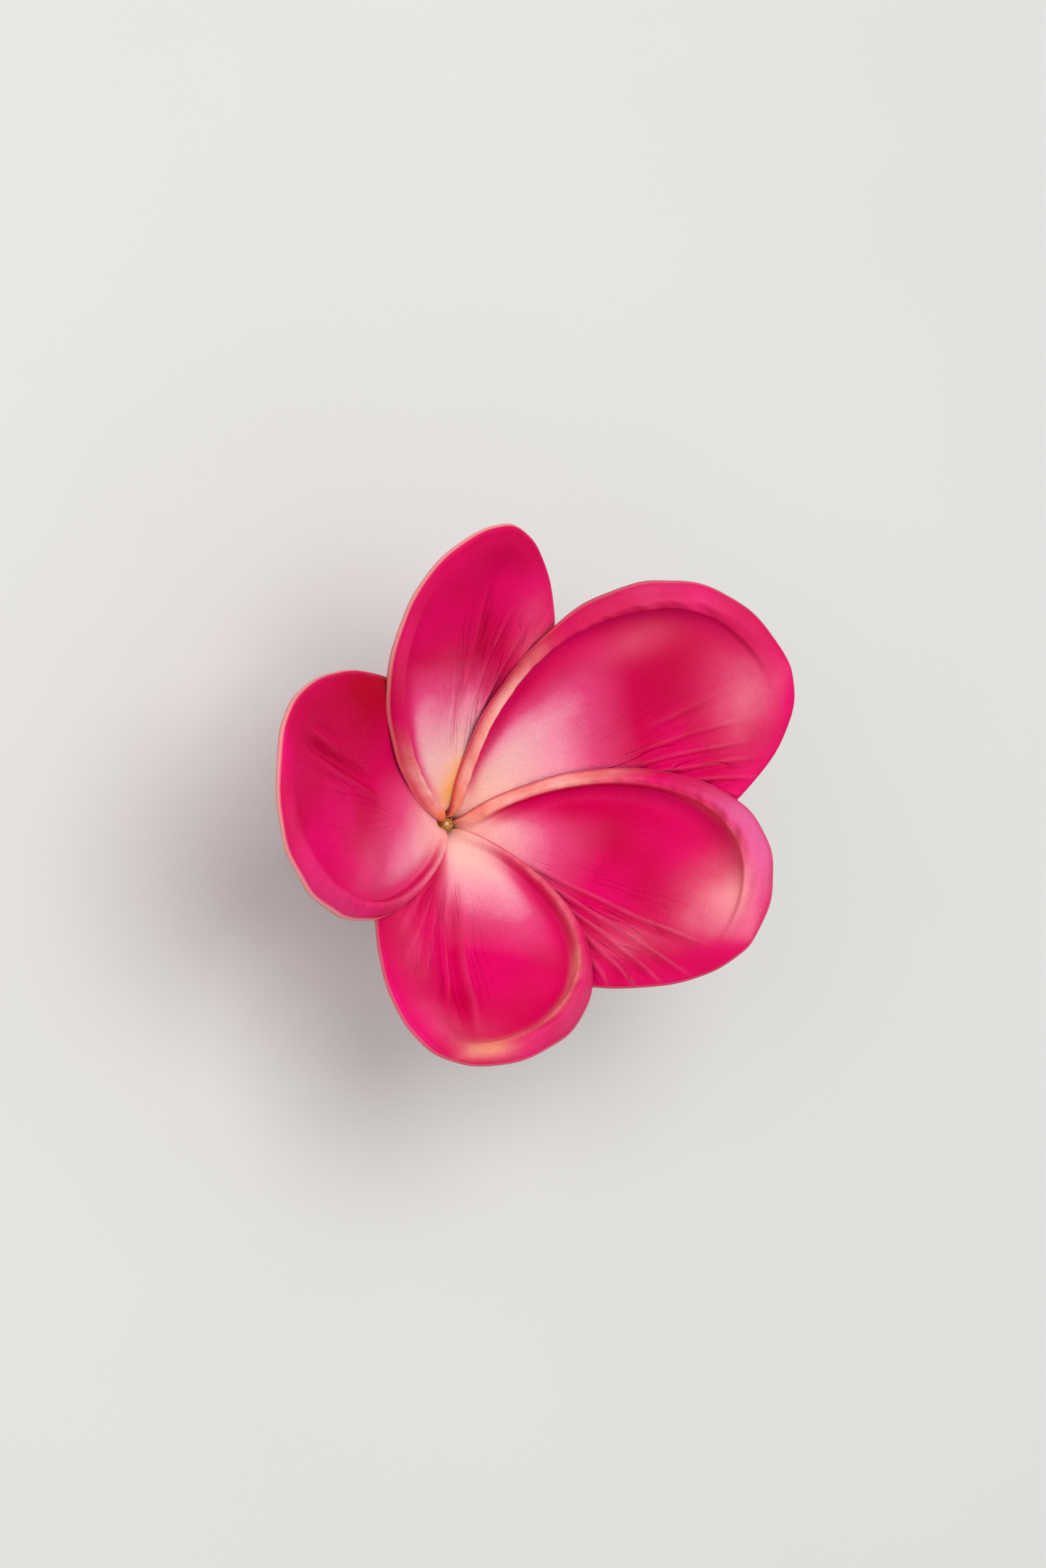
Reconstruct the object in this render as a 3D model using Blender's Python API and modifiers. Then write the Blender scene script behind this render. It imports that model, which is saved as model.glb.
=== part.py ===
"""Flower hair clip: a five-petal foam frangipani on a sprung steel alligator clip.

Metres, +Z up. The closed clip stands on z = 0 with its jaws along X, and the flower's own
axis is the Z axis. The upper jaw turns on the hinge pin, which lies along Y.
"""
import math

import bmesh
import bpy
from mathutils import Matrix, Vector

# ---- driving dimensions (metres, degrees) ----
CLIP_WIDTH = 0.0090
JAW_TIP_X = -0.0160
HINGE_X = 0.0160
HINGE_Z = 0.0034
LEVER_END_X = 0.0285
SHEET = 0.0008
JAW_OPENING = 0.0049
LEVER_ANGLE = 38.0
PIN_RADIUS = 0.0008
CLEARANCE = 0.0003
WIRE_RADIUS = 0.0003
COIL_RADIUS = 0.0017
COIL_TURNS = 4

FELT_RADIUS = 0.0120
FELT_THICKNESS = 0.0015
GLUE_RADIUS = 0.0085
GLUE_THICKNESS = 0.0012
CUP_HEIGHT = 0.0084
CUP_FLOOR = 0.0012
CUP_BOTTOM_RADIUS = 0.0052
CUP_RIM_RADIUS = 0.0062
CUP_WALL = 0.0008

THROAT_RADIUS = 0.0019
THROAT_DROP = 0.0016
THROAT_BEND = 0.0050
BLADE_START = 37.5
BLADE_END = 42.9
BLADE_BEND_LENGTH = 0.0518
ROOT_DEPTH = 0.0060
WHEEL_STEP = 0.0023
FOAM = 0.0013
FOAM_ROOT = 0.0009
EDGE_LIP = 0.0027

# name, azimuth, length, half width on the lipped side, on the tucked side, extra rise, sweep
PETALS = (
    ("petal_upper_right", 27.0, 0.0542, 0.0272, 0.0196, 0.0, 0.0018),
    ("petal_top", 99.0, 0.0511, 0.0200, 0.0151, 3.0, 0.0015),
    ("petal_left", 167.0, 0.0551, 0.0253, 0.0175, 2.5, 0.0013),
    ("petal_bottom", 253.0, 0.0437, 0.0239, 0.0149, -3.0, -0.0025),
    ("petal_lower_right", 323.0, 0.0487, 0.0259, 0.0176, 6.5, 0.0042),
)
PETAL_CELLS = 14

# ---- heights that follow ----
UPPER_SHEET_Z = SHEET + JAW_OPENING
FELT_Z = UPPER_SHEET_Z + SHEET + CLEARANCE
GLUE_Z = FELT_Z + FELT_THICKNESS + CLEARANCE
CUP_Z = GLUE_Z + GLUE_THICKNESS + CLEARANCE
THROAT_Z = CUP_Z + CUP_HEIGHT + 0.0018
EAR_THICKNESS = 0.0007
UPPER_EAR_Y = CLIP_WIDTH / 2 - EAR_THICKNESS / 2
LOWER_EAR_Y = UPPER_EAR_Y - EAR_THICKNESS - CLEARANCE
UPPER_EAR_RADIUS = 0.0022
LOWER_EAR_RADIUS = 0.0020


# ---- scene and small tools ----
def clear_scene():
    for obj in list(bpy.data.objects):
        bpy.data.objects.remove(obj, do_unlink=True)


def make_collection(name):
    collection = bpy.data.collections.new(name)
    bpy.context.scene.collection.children.link(collection)
    return collection


def make_material(name, color, roughness, metallic=0.0):
    material = bpy.data.materials.new(name)
    material.use_nodes = True
    shader = material.node_tree.nodes["Principled BSDF"]
    shader.inputs["Base Color"].default_value = (*color, 1.0)
    shader.inputs["Roughness"].default_value = roughness
    shader.inputs["Metallic"].default_value = metallic
    return material


def add_object(name, mesh, collection, material=None, parent=None, smooth=True):
    obj = bpy.data.objects.new(name, mesh)
    collection.objects.link(obj)
    if material:
        mesh.materials.append(material)
    if smooth and mesh.polygons:
        mesh.shade_smooth()
        mesh.set_sharp_from_angle(angle=math.radians(35))
    obj.parent = parent
    return obj


def mesh_from(bm, name):
    mesh = bpy.data.meshes.new(name)
    bm.to_mesh(mesh)
    bm.free()
    return mesh


def add_empty(name, location, collection):
    empty = bpy.data.objects.new(name, None)
    empty.location = location
    collection.objects.link(empty)
    return empty


def hang_from(child, empty):
    """Parents a piece to an empty and leaves it where it is."""
    child.parent = empty
    child.matrix_parent_inverse = Matrix.Translation(-empty.location)


def add_cutter(name, mesh, collection):
    cutter = add_object(name, mesh, collection, smooth=False)
    cutter.hide_render = True
    cutter.display_type = "WIRE"
    return cutter


def boolean(obj, other, operation):
    modifier = obj.modifiers.new(operation.lower(), "BOOLEAN")
    modifier.operation = operation
    modifier.solver = "EXACT"
    modifier.object = other


def turned(name, profile, steps, collection, material, parent=None):
    """A solid turned about its own Z from (radius, height) points, top to bottom."""
    mesh = bpy.data.meshes.new(name)
    points = [(radius, 0.0, height) for radius, height in profile]
    mesh.from_pydata(points, [(i, i + 1) for i in range(len(points) - 1)], [])
    obj = add_object(name, mesh, collection, material, parent)
    screw = obj.modifiers.new("turn", "SCREW")
    screw.axis = "Z"
    screw.steps = steps
    screw.render_steps = steps
    screw.use_merge_vertices = True
    screw.merge_threshold = 0.00001
    screw.use_smooth_shade = True
    return obj


def smooth_step(value, low, high):
    t = min(max((value - low) / (high - low), 0.0), 1.0)
    return t * t * (3.0 - 2.0 * t)


# ---- the corolla: five foam petals overlapping like a pinwheel ----
def wheel_place(azimuth):
    """Turns round the flower, counted in petals from the first one."""
    starts = [petal[1] for petal in PETALS] + [PETALS[0][1] + 360.0]
    turned_by = PETALS[0][1] + (azimuth - PETALS[0][1]) % 360.0
    for index in range(len(PETALS)):
        if turned_by <= starts[index + 1]:
            step = starts[index + 1] - starts[index]
            return index + (turned_by - starts[index]) / step
    return float(len(PETALS))


def extra_rise(place):
    index = int(place) % len(PETALS)
    share = smooth_step(place - int(place), 0.0, 1.0)
    following = PETALS[(index + 1) % len(PETALS)]
    return PETALS[index][5] * (1.0 - share) + following[5] * share


def petal_slope(along, rise):
    """Angle of the petals' shared cup above the horizontal, in radians."""
    start = math.radians(BLADE_START + rise)
    if along < THROAT_BEND:
        bend = math.sin(0.5 * math.pi * max(along, 0.0) / THROAT_BEND)
        return 0.5 * math.pi + (start - 0.5 * math.pi) * bend
    per_metre = math.radians(BLADE_END - BLADE_START) / (BLADE_BEND_LENGTH - THROAT_BEND)
    return start + per_metre * (along - THROAT_BEND)


def cup_point(azimuth, along, lift):
    """A point on the shared cup: along its meridian from the throat, lifted off it inwards."""
    rise = extra_rise(wheel_place(azimuth))
    radius = THROAT_RADIUS
    height = min(along, 0.0)
    steps = 24
    for step in range(steps):
        slope = petal_slope(max(along, 0.0) * (step + 0.5) / steps, rise)
        radius += math.cos(slope) * max(along, 0.0) / steps
        height += math.sin(slope) * max(along, 0.0) / steps
    slope = petal_slope(along, rise)
    radius -= math.sin(slope) * lift
    height += math.cos(slope) * lift - THROAT_DROP
    turn = math.radians(azimuth)
    return Vector((radius * math.cos(turn), radius * math.sin(turn), height))


def petal_half_width(share, widest, root_power, tip_power=0.52):
    """Half width at a share of the petal's length, widest at one place between its ends."""
    peak = root_power / (root_power + tip_power)
    root = (max(share, 0.0) / peak) ** root_power
    tip = (max(1.0 - share, 0.0) / (1.0 - peak)) ** tip_power
    return widest * root * tip


def petal_point(index, x, y, depth):
    """Carries a point of a round slab of radius 1 onto the petal; depth 1 is its back."""
    _, azimuth, length, lip_half, tuck_half, _, sweep = PETALS[index]
    share = 0.5 * (1.0 + y)
    chord = math.sqrt(max(1.0 - y * y, 1e-9))
    across = min(max(x / chord, -1.0), 1.0)
    if across > 0.0:
        half = petal_half_width(share, lip_half, 0.66)
    else:
        half = petal_half_width(share, tuck_half, 0.47)
    a = length * share
    b = across * half + sweep * share * share
    reach = math.hypot(a, b)
    angle = math.degrees(math.atan2(b, max(a, 1e-6)))
    spread = 0.0100 if angle > 0.0 else 0.0170
    angle *= 0.36 + 0.64 * smooth_step(reach, 0.001, spread)
    # the rolled lip runs up the overlapping edge and round the tip
    edge = 1.0 - math.hypot(x, y)
    turn = math.degrees(math.atan2(x, -y))
    lip_share = 1.0 - smooth_step(turn % 360.0, 185.0, 225.0)
    crest = math.exp(-((edge - 0.10) / 0.09) ** 2)
    lip = EDGE_LIP * lip_share * crest * smooth_step(reach, 0.004, 0.020)
    place = wheel_place(azimuth + angle) - index
    place = (place + 2.5) % 5.0 - 2.5
    foam = FOAM_ROOT + (FOAM - FOAM_ROOT) * smooth_step(reach, 0.003, 0.012)
    lift = WHEEL_STEP * place + lip - foam * depth
    along = reach - ROOT_DEPTH * (1.0 - smooth_step(reach, 0.0, 0.005))
    return cup_point(azimuth + angle, along, lift)


def petal_mesh(index):
    bm = bmesh.new()
    bmesh.ops.create_grid(bm, x_segments=PETAL_CELLS, y_segments=PETAL_CELLS, size=1.0)
    slab = bmesh.ops.extrude_face_region(bm, geom=bm.faces[:], use_keep_orig=True)
    back = [item for item in slab["geom"] if isinstance(item, bmesh.types.BMVert)]
    bmesh.ops.translate(bm, verts=back, vec=(0.0, 0.0, 1.0))
    bmesh.ops.recalc_face_normals(bm, faces=bm.faces[:])
    for vert in bm.verts:
        x, y, depth = vert.co
        round_x = x * math.sqrt(1.0 - 0.5 * y * y)
        round_y = y * math.sqrt(1.0 - 0.5 * x * x)
        vert.co = petal_point(index, round_x, round_y, depth)
    return mesh_from(bm, PETALS[index][0])


def make_petals(collection, material, flower):
    for index, petal in enumerate(PETALS):
        add_object(petal[0], petal_mesh(index), collection, material, flower)


# ---- what holds the petals: cup, peg, glue and felt ----
def make_flower_cup(collection, material, flower):
    """A turned cup that the petals' roots are glued into."""
    bottom = CUP_Z - THROAT_Z
    rim = bottom + CUP_HEIGHT
    profile = [
        (0.0, bottom + CUP_FLOOR),
        (CUP_BOTTOM_RADIUS - CUP_WALL, bottom + CUP_FLOOR),
        (CUP_RIM_RADIUS - CUP_WALL, rim - 0.0003),
        (CUP_RIM_RADIUS - 0.5 * CUP_WALL, rim),
        (CUP_RIM_RADIUS, rim - 0.0003),
        (CUP_BOTTOM_RADIUS + 0.0003, bottom + 0.0010),
        (CUP_BOTTOM_RADIUS, bottom),
        (0.0, bottom),
    ]
    turned("flower_cup", profile, 28, collection, material, flower)


def make_throat_peg(collection, material, flower):
    """The amber plastic stub that closes the throat between the petals' roots."""
    foot = CUP_Z - THROAT_Z + CUP_FLOOR + CLEARANCE
    profile = [
        (0.0, -0.0006),
        (0.00030, -0.0008),
        (0.00045, -0.0012),
        (0.00045, foot + 0.0010),
        (0.0016, foot + 0.0007),
        (0.0016, foot),
        (0.0, foot),
    ]
    turned("throat_peg", profile, 14, collection, material, flower)


def make_glue_and_felt(collection, glue, felt, flower):
    """A flattened blob of hot-melt glue on a felt disc that covers the upper jaw."""
    foot = GLUE_Z - THROAT_Z
    glue_profile = [
        (0.0, foot + GLUE_THICKNESS),
        (GLUE_RADIUS - 0.0012, foot + GLUE_THICKNESS),
        (GLUE_RADIUS - 0.0003, foot + 0.65 * GLUE_THICKNESS),
        (GLUE_RADIUS, foot + 0.30 * GLUE_THICKNESS),
        (GLUE_RADIUS - 0.0002, foot),
        (0.0, foot),
    ]
    turned("glue_pad", glue_profile, 28, collection, glue, flower)
    foot = FELT_Z - THROAT_Z
    felt_profile = [
        (0.0, foot + FELT_THICKNESS),
        (FELT_RADIUS - 0.0002, foot + FELT_THICKNESS),
        (FELT_RADIUS, foot + FELT_THICKNESS - 0.0003),
        (FELT_RADIUS, foot + 0.0002),
        (FELT_RADIUS - 0.0002, foot),
        (0.0, foot),
    ]
    turned("felt_disc", felt_profile, 36, collection, felt, flower)


# ---- the steel clip ----
def strip_mesh(name, stations, thickness):
    """Folded sheet: (x, z, half width) stations along it, thickened downwards."""
    bm = bmesh.new()
    x, z, half = stations[0]
    ends = [bm.verts.new((x, -half, z)), bm.verts.new((x, half, z))]
    edge = bm.edges.new(ends)
    for x, z, half in stations[1:]:
        grown = bmesh.ops.extrude_edge_only(bm, edges=[edge])
        edge = [item for item in grown["geom"] if isinstance(item, bmesh.types.BMEdge)][0]
        for vert in edge.verts:
            vert.co = (x, math.copysign(half, vert.co.y), z)
    bmesh.ops.recalc_face_normals(bm, faces=bm.faces[:])
    if sum(face.normal.z for face in bm.faces) < 0.0:
        bmesh.ops.reverse_faces(bm, faces=bm.faces[:])
    bmesh.ops.solidify(bm, geom=bm.faces[:], thickness=thickness)
    return mesh_from(bm, name)


def ear_pieces(name, side_y, radius, top_z, bottom_z):
    """An ear plate: a round end about the pin, and a block that meets its sheet."""
    bm = bmesh.new()
    turn = Matrix.Rotation(0.5 * math.pi, 4, "X")
    place = Matrix.Translation((HINGE_X, side_y, HINGE_Z)) @ turn
    bmesh.ops.create_cone(
        bm, cap_ends=True, segments=28, radius1=radius, radius2=radius,
        depth=EAR_THICKNESS, matrix=place)
    disc = add_cutter(name + "_disc", mesh_from(bm, name + "_disc"), CUTTERS)
    bm = bmesh.new()
    size = Matrix.Diagonal((2.0 * radius, EAR_THICKNESS, top_z - bottom_z, 1.0))
    middle = Matrix.Translation((HINGE_X, side_y, 0.5 * (top_z + bottom_z)))
    bmesh.ops.create_cube(bm, size=1.0, matrix=middle @ size)
    block = add_cutter(name + "_block", mesh_from(bm, name + "_block"), CUTTERS)
    return disc, block


def pin_cutter(name):
    bm = bmesh.new()
    turn = Matrix.Rotation(0.5 * math.pi, 4, "X")
    place = Matrix.Translation((HINGE_X, 0.0, HINGE_Z)) @ turn
    radius = PIN_RADIUS + CLEARANCE
    bmesh.ops.create_cone(
        bm, cap_ends=True, segments=24, radius1=radius, radius2=radius,
        depth=2.0 * CLIP_WIDTH, matrix=place)
    return add_cutter(name, mesh_from(bm, name), CUTTERS)


def make_upper_jaw(collection, steel, hinge):
    top = UPPER_SHEET_Z + SHEET
    bend_x = HINGE_X + 0.0020
    lever_rise = (LEVER_END_X - bend_x) * math.tan(math.radians(LEVER_ANGLE))
    stations = [
        (JAW_TIP_X, 0.0012, 0.0026),
        (JAW_TIP_X + 0.0001, 0.0034, 0.0028),
        (JAW_TIP_X + 0.0006, 0.0052, 0.0031),
        (JAW_TIP_X + 0.0018, 0.0062, 0.0035),
        (JAW_TIP_X + 0.0036, top, 0.0040),
        (JAW_TIP_X + 0.0070, top, CLIP_WIDTH / 2),
        (bend_x, top, CLIP_WIDTH / 2),
        (LEVER_END_X - 0.0016, top + lever_rise - 0.0012, CLIP_WIDTH / 2),
        (LEVER_END_X, top + lever_rise, CLIP_WIDTH / 2 - 0.0014),
    ]
    jaw = add_object("upper_jaw", strip_mesh("upper_jaw", stations, SHEET), collection, steel)
    for side in (-1.0, 1.0):
        name = "upper_ear_" + ("near" if side < 0 else "far")
        pieces = ear_pieces(name, side * UPPER_EAR_Y, UPPER_EAR_RADIUS, top - 0.5 * SHEET, HINGE_Z)
        for piece in pieces:
            boolean(jaw, piece, "UNION")
    boolean(jaw, pin_cutter("upper_pin_hole"), "DIFFERENCE")
    hang_from(jaw, hinge)


def make_lower_jaw(collection, steel):
    """The lower jaw lies flat; low serrated rails run along both edges in front of the ears."""
    stations = [
        (JAW_TIP_X - 0.0006, SHEET, 0.0022),
        (JAW_TIP_X + 0.0010, SHEET, 0.0034),
        (JAW_TIP_X + 0.0070, SHEET, CLIP_WIDTH / 2),
        (LEVER_END_X - 0.0020, SHEET, CLIP_WIDTH / 2),
        (LEVER_END_X - 0.0004, SHEET, CLIP_WIDTH / 2 - 0.0014),
    ]
    jaw = add_object("lower_jaw", strip_mesh("lower_jaw", stations, SHEET), collection, steel)
    for side in (-1.0, 1.0):
        name = "lower_ear_" + ("near" if side < 0 else "far")
        pieces = ear_pieces(name, side * LOWER_EAR_Y, LOWER_EAR_RADIUS, HINGE_Z, 0.5 * SHEET)
        for piece in pieces:
            boolean(jaw, piece, "UNION")
    boolean(jaw, tooth_rows(), "UNION")
    boolean(jaw, pin_cutter("lower_pin_hole"), "DIFFERENCE")


def tooth_rows():
    """Low wedge teeth along both edges of the lower jaw."""
    bm = bmesh.new()
    pitch = 0.0026
    for side in (-1.0, 1.0):
        for number in range(8):
            middle = Vector((JAW_TIP_X + 0.0085 + pitch * number, side * 0.0040, SHEET + 0.0001))
            size = Matrix.Diagonal((0.0020, 0.0007, 0.0010, 1.0))
            made = bmesh.ops.create_cube(bm, size=1.0, matrix=Matrix.Translation(middle) @ size)
            for vert in made["verts"]:
                if vert.co.z > middle.z:
                    vert.co.x = middle.x + 0.3 * (vert.co.x - middle.x)
    return add_cutter("lower_teeth", mesh_from(bm, "lower_teeth"), CUTTERS)


def make_hinge_pin(collection, steel):
    """A rivet through all four ears, with a head outside each upper ear."""
    half = CLIP_WIDTH / 2 + CLEARANCE
    head = 0.0005
    profile = [
        (0.0, half + head),
        (0.0010, half + head - 0.0001),
        (0.0015, half),
        (PIN_RADIUS, half),
        (PIN_RADIUS, -half),
        (0.0015, -half),
        (0.0010, -half - head + 0.0001),
        (0.0, -half - head),
    ]
    pin = turned("hinge_pin", profile, 20, collection, steel)
    pin.location = (HINGE_X, 0.0, HINGE_Z)
    pin.rotation_euler = (0.5 * math.pi, 0.0, 0.0)


def tangent_angle(point, outside):
    """Angle on the coil, about the pin, where a straight leg to the point leaves it."""
    distance = math.hypot(*point)
    lean = math.acos(COIL_RADIUS / distance)
    return math.atan2(point[1], point[0]) + outside * lean


def spring_points():
    """Leg to the upper lever, the coil along the pin, leg to the lower lever (from the pin)."""
    lever = math.radians(LEVER_ANGLE)
    bend_x = HINGE_X + 0.0020
    reach = 0.0095
    sink = WIRE_RADIUS + CLEARANCE + 0.0002
    upper = (
        bend_x + reach * math.cos(lever) + sink * math.sin(lever) - HINGE_X,
        UPPER_SHEET_Z + reach * math.sin(lever) - sink * math.cos(lever) - HINGE_Z)
    lower = (0.0095, SHEET + sink - HINGE_Z)
    start = tangent_angle(upper, -1.0)
    stop = tangent_angle(lower, 1.0)
    half_span = 0.00188
    sweep = (start - stop) % (2.0 * math.pi) + 2.0 * math.pi * (COIL_TURNS - 1)
    count = 14 * COIL_TURNS
    points = [(upper[0], -half_span, upper[1])]
    for number in range(count + 1):
        share = number / count
        angle = start - sweep * share
        y = -half_span + 2.0 * half_span * share
        points.append((COIL_RADIUS * math.cos(angle), y, COIL_RADIUS * math.sin(angle)))
    points.append((lower[0], half_span, lower[1]))
    return points


def make_torsion_spring(collection, steel):
    curve = bpy.data.curves.new("torsion_spring", "CURVE")
    curve.dimensions = "3D"
    curve.bevel_depth = WIRE_RADIUS
    curve.bevel_resolution = 2
    curve.use_fill_caps = True
    points = spring_points()
    spline = curve.splines.new("POLY")
    spline.points.add(len(points) - 1)
    for target, point in zip(spline.points, points):
        target.co = (*point, 1.0)
    spring = bpy.data.objects.new("torsion_spring", curve)
    collection.objects.link(spring)
    curve.materials.append(steel)
    spring.location = (HINGE_X, 0.0, HINGE_Z)


clear_scene()
PARTS = make_collection("flower_hair_clip")
CUTTERS = make_collection("cutters")
hinge_empty = add_empty("hinge_axis", (HINGE_X, 0.0, HINGE_Z), PARTS)
flower_empty = add_empty("flower_throat", (0.0, 0.0, THROAT_Z), PARTS)
hang_from(flower_empty, hinge_empty)

foam = make_material("petal_foam", (0.68, 0.01, 0.09), 0.55)
amber = make_material("amber_plastic", (0.55, 0.30, 0.08), 0.30)
cup_foam = make_material("cup_plastic", (0.75, 0.20, 0.22), 0.60)
glue_clear = make_material("hot_glue", (0.85, 0.82, 0.72), 0.25)
felt_white = make_material("felt", (0.86, 0.84, 0.80), 0.95)
nickel = make_material("nickel_steel", (0.70, 0.69, 0.67), 0.25, 1.0)

make_petals(PARTS, foam, flower_empty)
make_flower_cup(PARTS, cup_foam, flower_empty)
make_throat_peg(PARTS, amber, flower_empty)
make_glue_and_felt(PARTS, glue_clear, felt_white, flower_empty)
make_upper_jaw(PARTS, nickel, hinge_empty)
make_lower_jaw(PARTS, nickel)
make_hinge_pin(PARTS, nickel)
make_torsion_spring(PARTS, nickel)
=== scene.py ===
import math

import bmesh
import bpy
import numpy as np
from mathutils import Matrix, Vector


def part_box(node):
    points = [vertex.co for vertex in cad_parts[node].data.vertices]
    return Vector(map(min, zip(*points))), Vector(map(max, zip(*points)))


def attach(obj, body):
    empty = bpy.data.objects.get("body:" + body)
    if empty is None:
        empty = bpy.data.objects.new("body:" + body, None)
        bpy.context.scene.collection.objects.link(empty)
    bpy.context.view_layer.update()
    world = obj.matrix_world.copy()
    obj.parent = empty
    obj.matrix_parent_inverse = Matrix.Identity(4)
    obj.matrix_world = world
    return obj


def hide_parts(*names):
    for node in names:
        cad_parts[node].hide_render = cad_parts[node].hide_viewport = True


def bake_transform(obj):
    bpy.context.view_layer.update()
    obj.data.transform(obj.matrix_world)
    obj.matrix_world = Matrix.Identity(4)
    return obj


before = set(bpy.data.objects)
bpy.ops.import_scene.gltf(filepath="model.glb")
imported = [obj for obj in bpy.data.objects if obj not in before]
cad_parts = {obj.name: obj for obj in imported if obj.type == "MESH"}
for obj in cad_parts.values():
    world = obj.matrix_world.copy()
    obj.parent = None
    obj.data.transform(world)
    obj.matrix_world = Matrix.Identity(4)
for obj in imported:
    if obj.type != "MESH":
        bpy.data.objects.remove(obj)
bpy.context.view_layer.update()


# ---- The studio ----
# A pale matt floor under the clip, a broad soft lamp high behind the flower, and an even sky.
# The camera looks down into the flower with the flower's +Y side at the top of its picture.
throat = Vector((0.0, 0.0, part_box("flower_cup")[1].z + 0.0018))
camera_target = throat + Vector((0.0092, 0.0055, 0.0051))
camera_distance = 0.564
camera_azimuth = math.radians(191.1)
camera_elevation = math.radians(63.3)
camera_roll = math.radians(-78.9)
level = math.cos(camera_elevation)
camera_back = Vector((
    level * math.cos(camera_azimuth),
    level * math.sin(camera_azimuth),
    math.sin(camera_elevation)))
upright = (Vector((0.0, 0.0, 1.0)) - camera_back * camera_back.z).normalized()
sideways = upright.cross(camera_back)
camera_up = upright * math.cos(camera_roll) + sideways * math.sin(camera_roll)
camera_right = camera_up.cross(camera_back)


def show(name, data):
    """A new object in the scene."""
    shown = bpy.data.objects.new(name, data)
    bpy.context.scene.collection.objects.link(shown)
    return shown


def mesh_from(bm, name):
    mesh = bpy.data.meshes.new(name)
    bm.to_mesh(mesh)
    bm.free()
    return mesh


lens = bpy.data.cameras.new("camera")
lens.lens = 90.0
lens.sensor_fit = "VERTICAL"
lens.sensor_height = 36.0
camera = show("camera", lens)
axes = Matrix((camera_right, camera_up, camera_back)).transposed().to_4x4()
camera.matrix_world = Matrix.Translation(camera_target + camera_back * camera_distance) @ axes
bpy.context.scene.camera = camera


def soft_lamp(name, place, size, watts, colour):
    lamp = bpy.data.lights.new(name, "AREA")
    lamp.shape = "DISK"
    lamp.size = size
    lamp.energy = watts
    lamp.color = colour
    holder = show(name, lamp)
    holder.location = place
    holder.rotation_euler = (throat - holder.location).to_track_quat("-Z", "Y").to_euler()


soft_lamp("key_lamp", Vector((-0.05, 0.15, 0.80)), 0.52, 3.3, (1.0, 0.99, 0.98))
soft_lamp("fill_lamp", Vector((-0.60, 0.10, 0.55)), 0.60, 0.8, (1.0, 0.99, 1.0))
world = bpy.data.worlds.new("studio")
world.use_nodes = True
world.node_tree.nodes["Background"].inputs["Color"].default_value = (0.99, 0.99, 1.0, 1.0)
world.node_tree.nodes["Background"].inputs["Strength"].default_value = 0.68
bpy.context.scene.world = world
bpy.context.scene.view_settings.view_transform = "Standard"


def add_node(tree, kind, inputs=None, **fields):
    """A shader node with its fields set and its sockets given a value or a link."""
    made = tree.nodes.new(kind)
    for field, value in fields.items():
        setattr(made, field, value)
    for socket, value in (inputs or {}).items():
        if isinstance(value, bpy.types.NodeSocket):
            tree.links.new(value, made.inputs[socket])
        else:
            made.inputs[socket].default_value = value
    return made


def start_finish(name, roughness, **fixed):
    """A new material with its shader's fixed sockets set, and the piece's own coordinates."""
    finish = bpy.data.materials.new(name)
    finish.use_nodes = True
    tree = finish.node_tree
    shader = tree.nodes["Principled BSDF"]
    shader.inputs["Roughness"].default_value = roughness
    for socket, value in fixed.items():
        shader.inputs[socket.replace("_", " ")].default_value = value
    place = add_node(tree, "ShaderNodeTexCoord").outputs["Object"]
    return finish, tree, shader, place


def grain(tree, place, size, detail=3.0, roughness=0.5, distortion=0.0):
    """Noise whose lumps are about as wide as size, in metres."""
    settings = {
        "Vector": place, "Scale": 1.0 / size, "Detail": detail,
        "Roughness": roughness, "Distortion": distortion}
    return add_node(tree, "ShaderNodeTexNoise", settings).outputs["Fac"]


def remap(tree, value, from_low, from_high, to_low=0.0, to_high=1.0, smooth=True):
    kind = "SMOOTHSTEP" if smooth else "LINEAR"
    settings = {
        "Value": value, "From Min": from_low, "From Max": from_high,
        "To Min": to_low, "To Max": to_high}
    return add_node(tree, "ShaderNodeMapRange", settings, interpolation_type=kind).outputs["Result"]


def maths(tree, operation, first, second=0.5, third=0.5):
    settings = {0: first, 1: second, 2: third}
    return add_node(tree, "ShaderNodeMath", settings, operation=operation).outputs["Value"]


def mix_colours(tree, share, first, second, blend="MIX"):
    made = add_node(tree, "ShaderNodeMix", data_type="RGBA", blend_type=blend)
    for socket, value in ((0, share), (6, first), (7, second)):
        if isinstance(value, bpy.types.NodeSocket):
            tree.links.new(value, made.inputs[socket])
        else:
            made.inputs[socket].default_value = value if socket == 0 else (*value, 1.0)
    return made.outputs[2]


def times(tree, first, second):
    return maths(tree, "MULTIPLY", first, second)


def dress(tree, shader, colour, heights):
    """Wires up a colour, and a chain of bumps of (height, strength, depth in metres)."""
    tree.links.new(colour, shader.inputs["Base Color"])
    normal = None
    for height, strength, depth in heights:
        settings = {"Height": height, "Strength": strength, "Distance": depth}
        if normal:
            settings["Normal"] = normal
        normal = add_node(tree, "ShaderNodeBump", settings).outputs["Normal"]
    tree.links.new(normal, shader.inputs["Normal"])


floor_finish, tree, shader, place = start_finish("pale_floor", 0.75)
cloud = grain(tree, place, 0.08)
floor_colour = mix_colours(tree, cloud, (0.63, 0.642, 0.618), (0.67, 0.682, 0.657))
dress(tree, shader, floor_colour, [(grain(tree, place, 0.0012), 0.15, 0.0002)])
bm = bmesh.new()
bmesh.ops.create_grid(bm, x_segments=1, y_segments=1, size=2.0)
floor = show("floor", mesh_from(bm, "floor"))
floor.data.materials.append(floor_finish)


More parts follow.
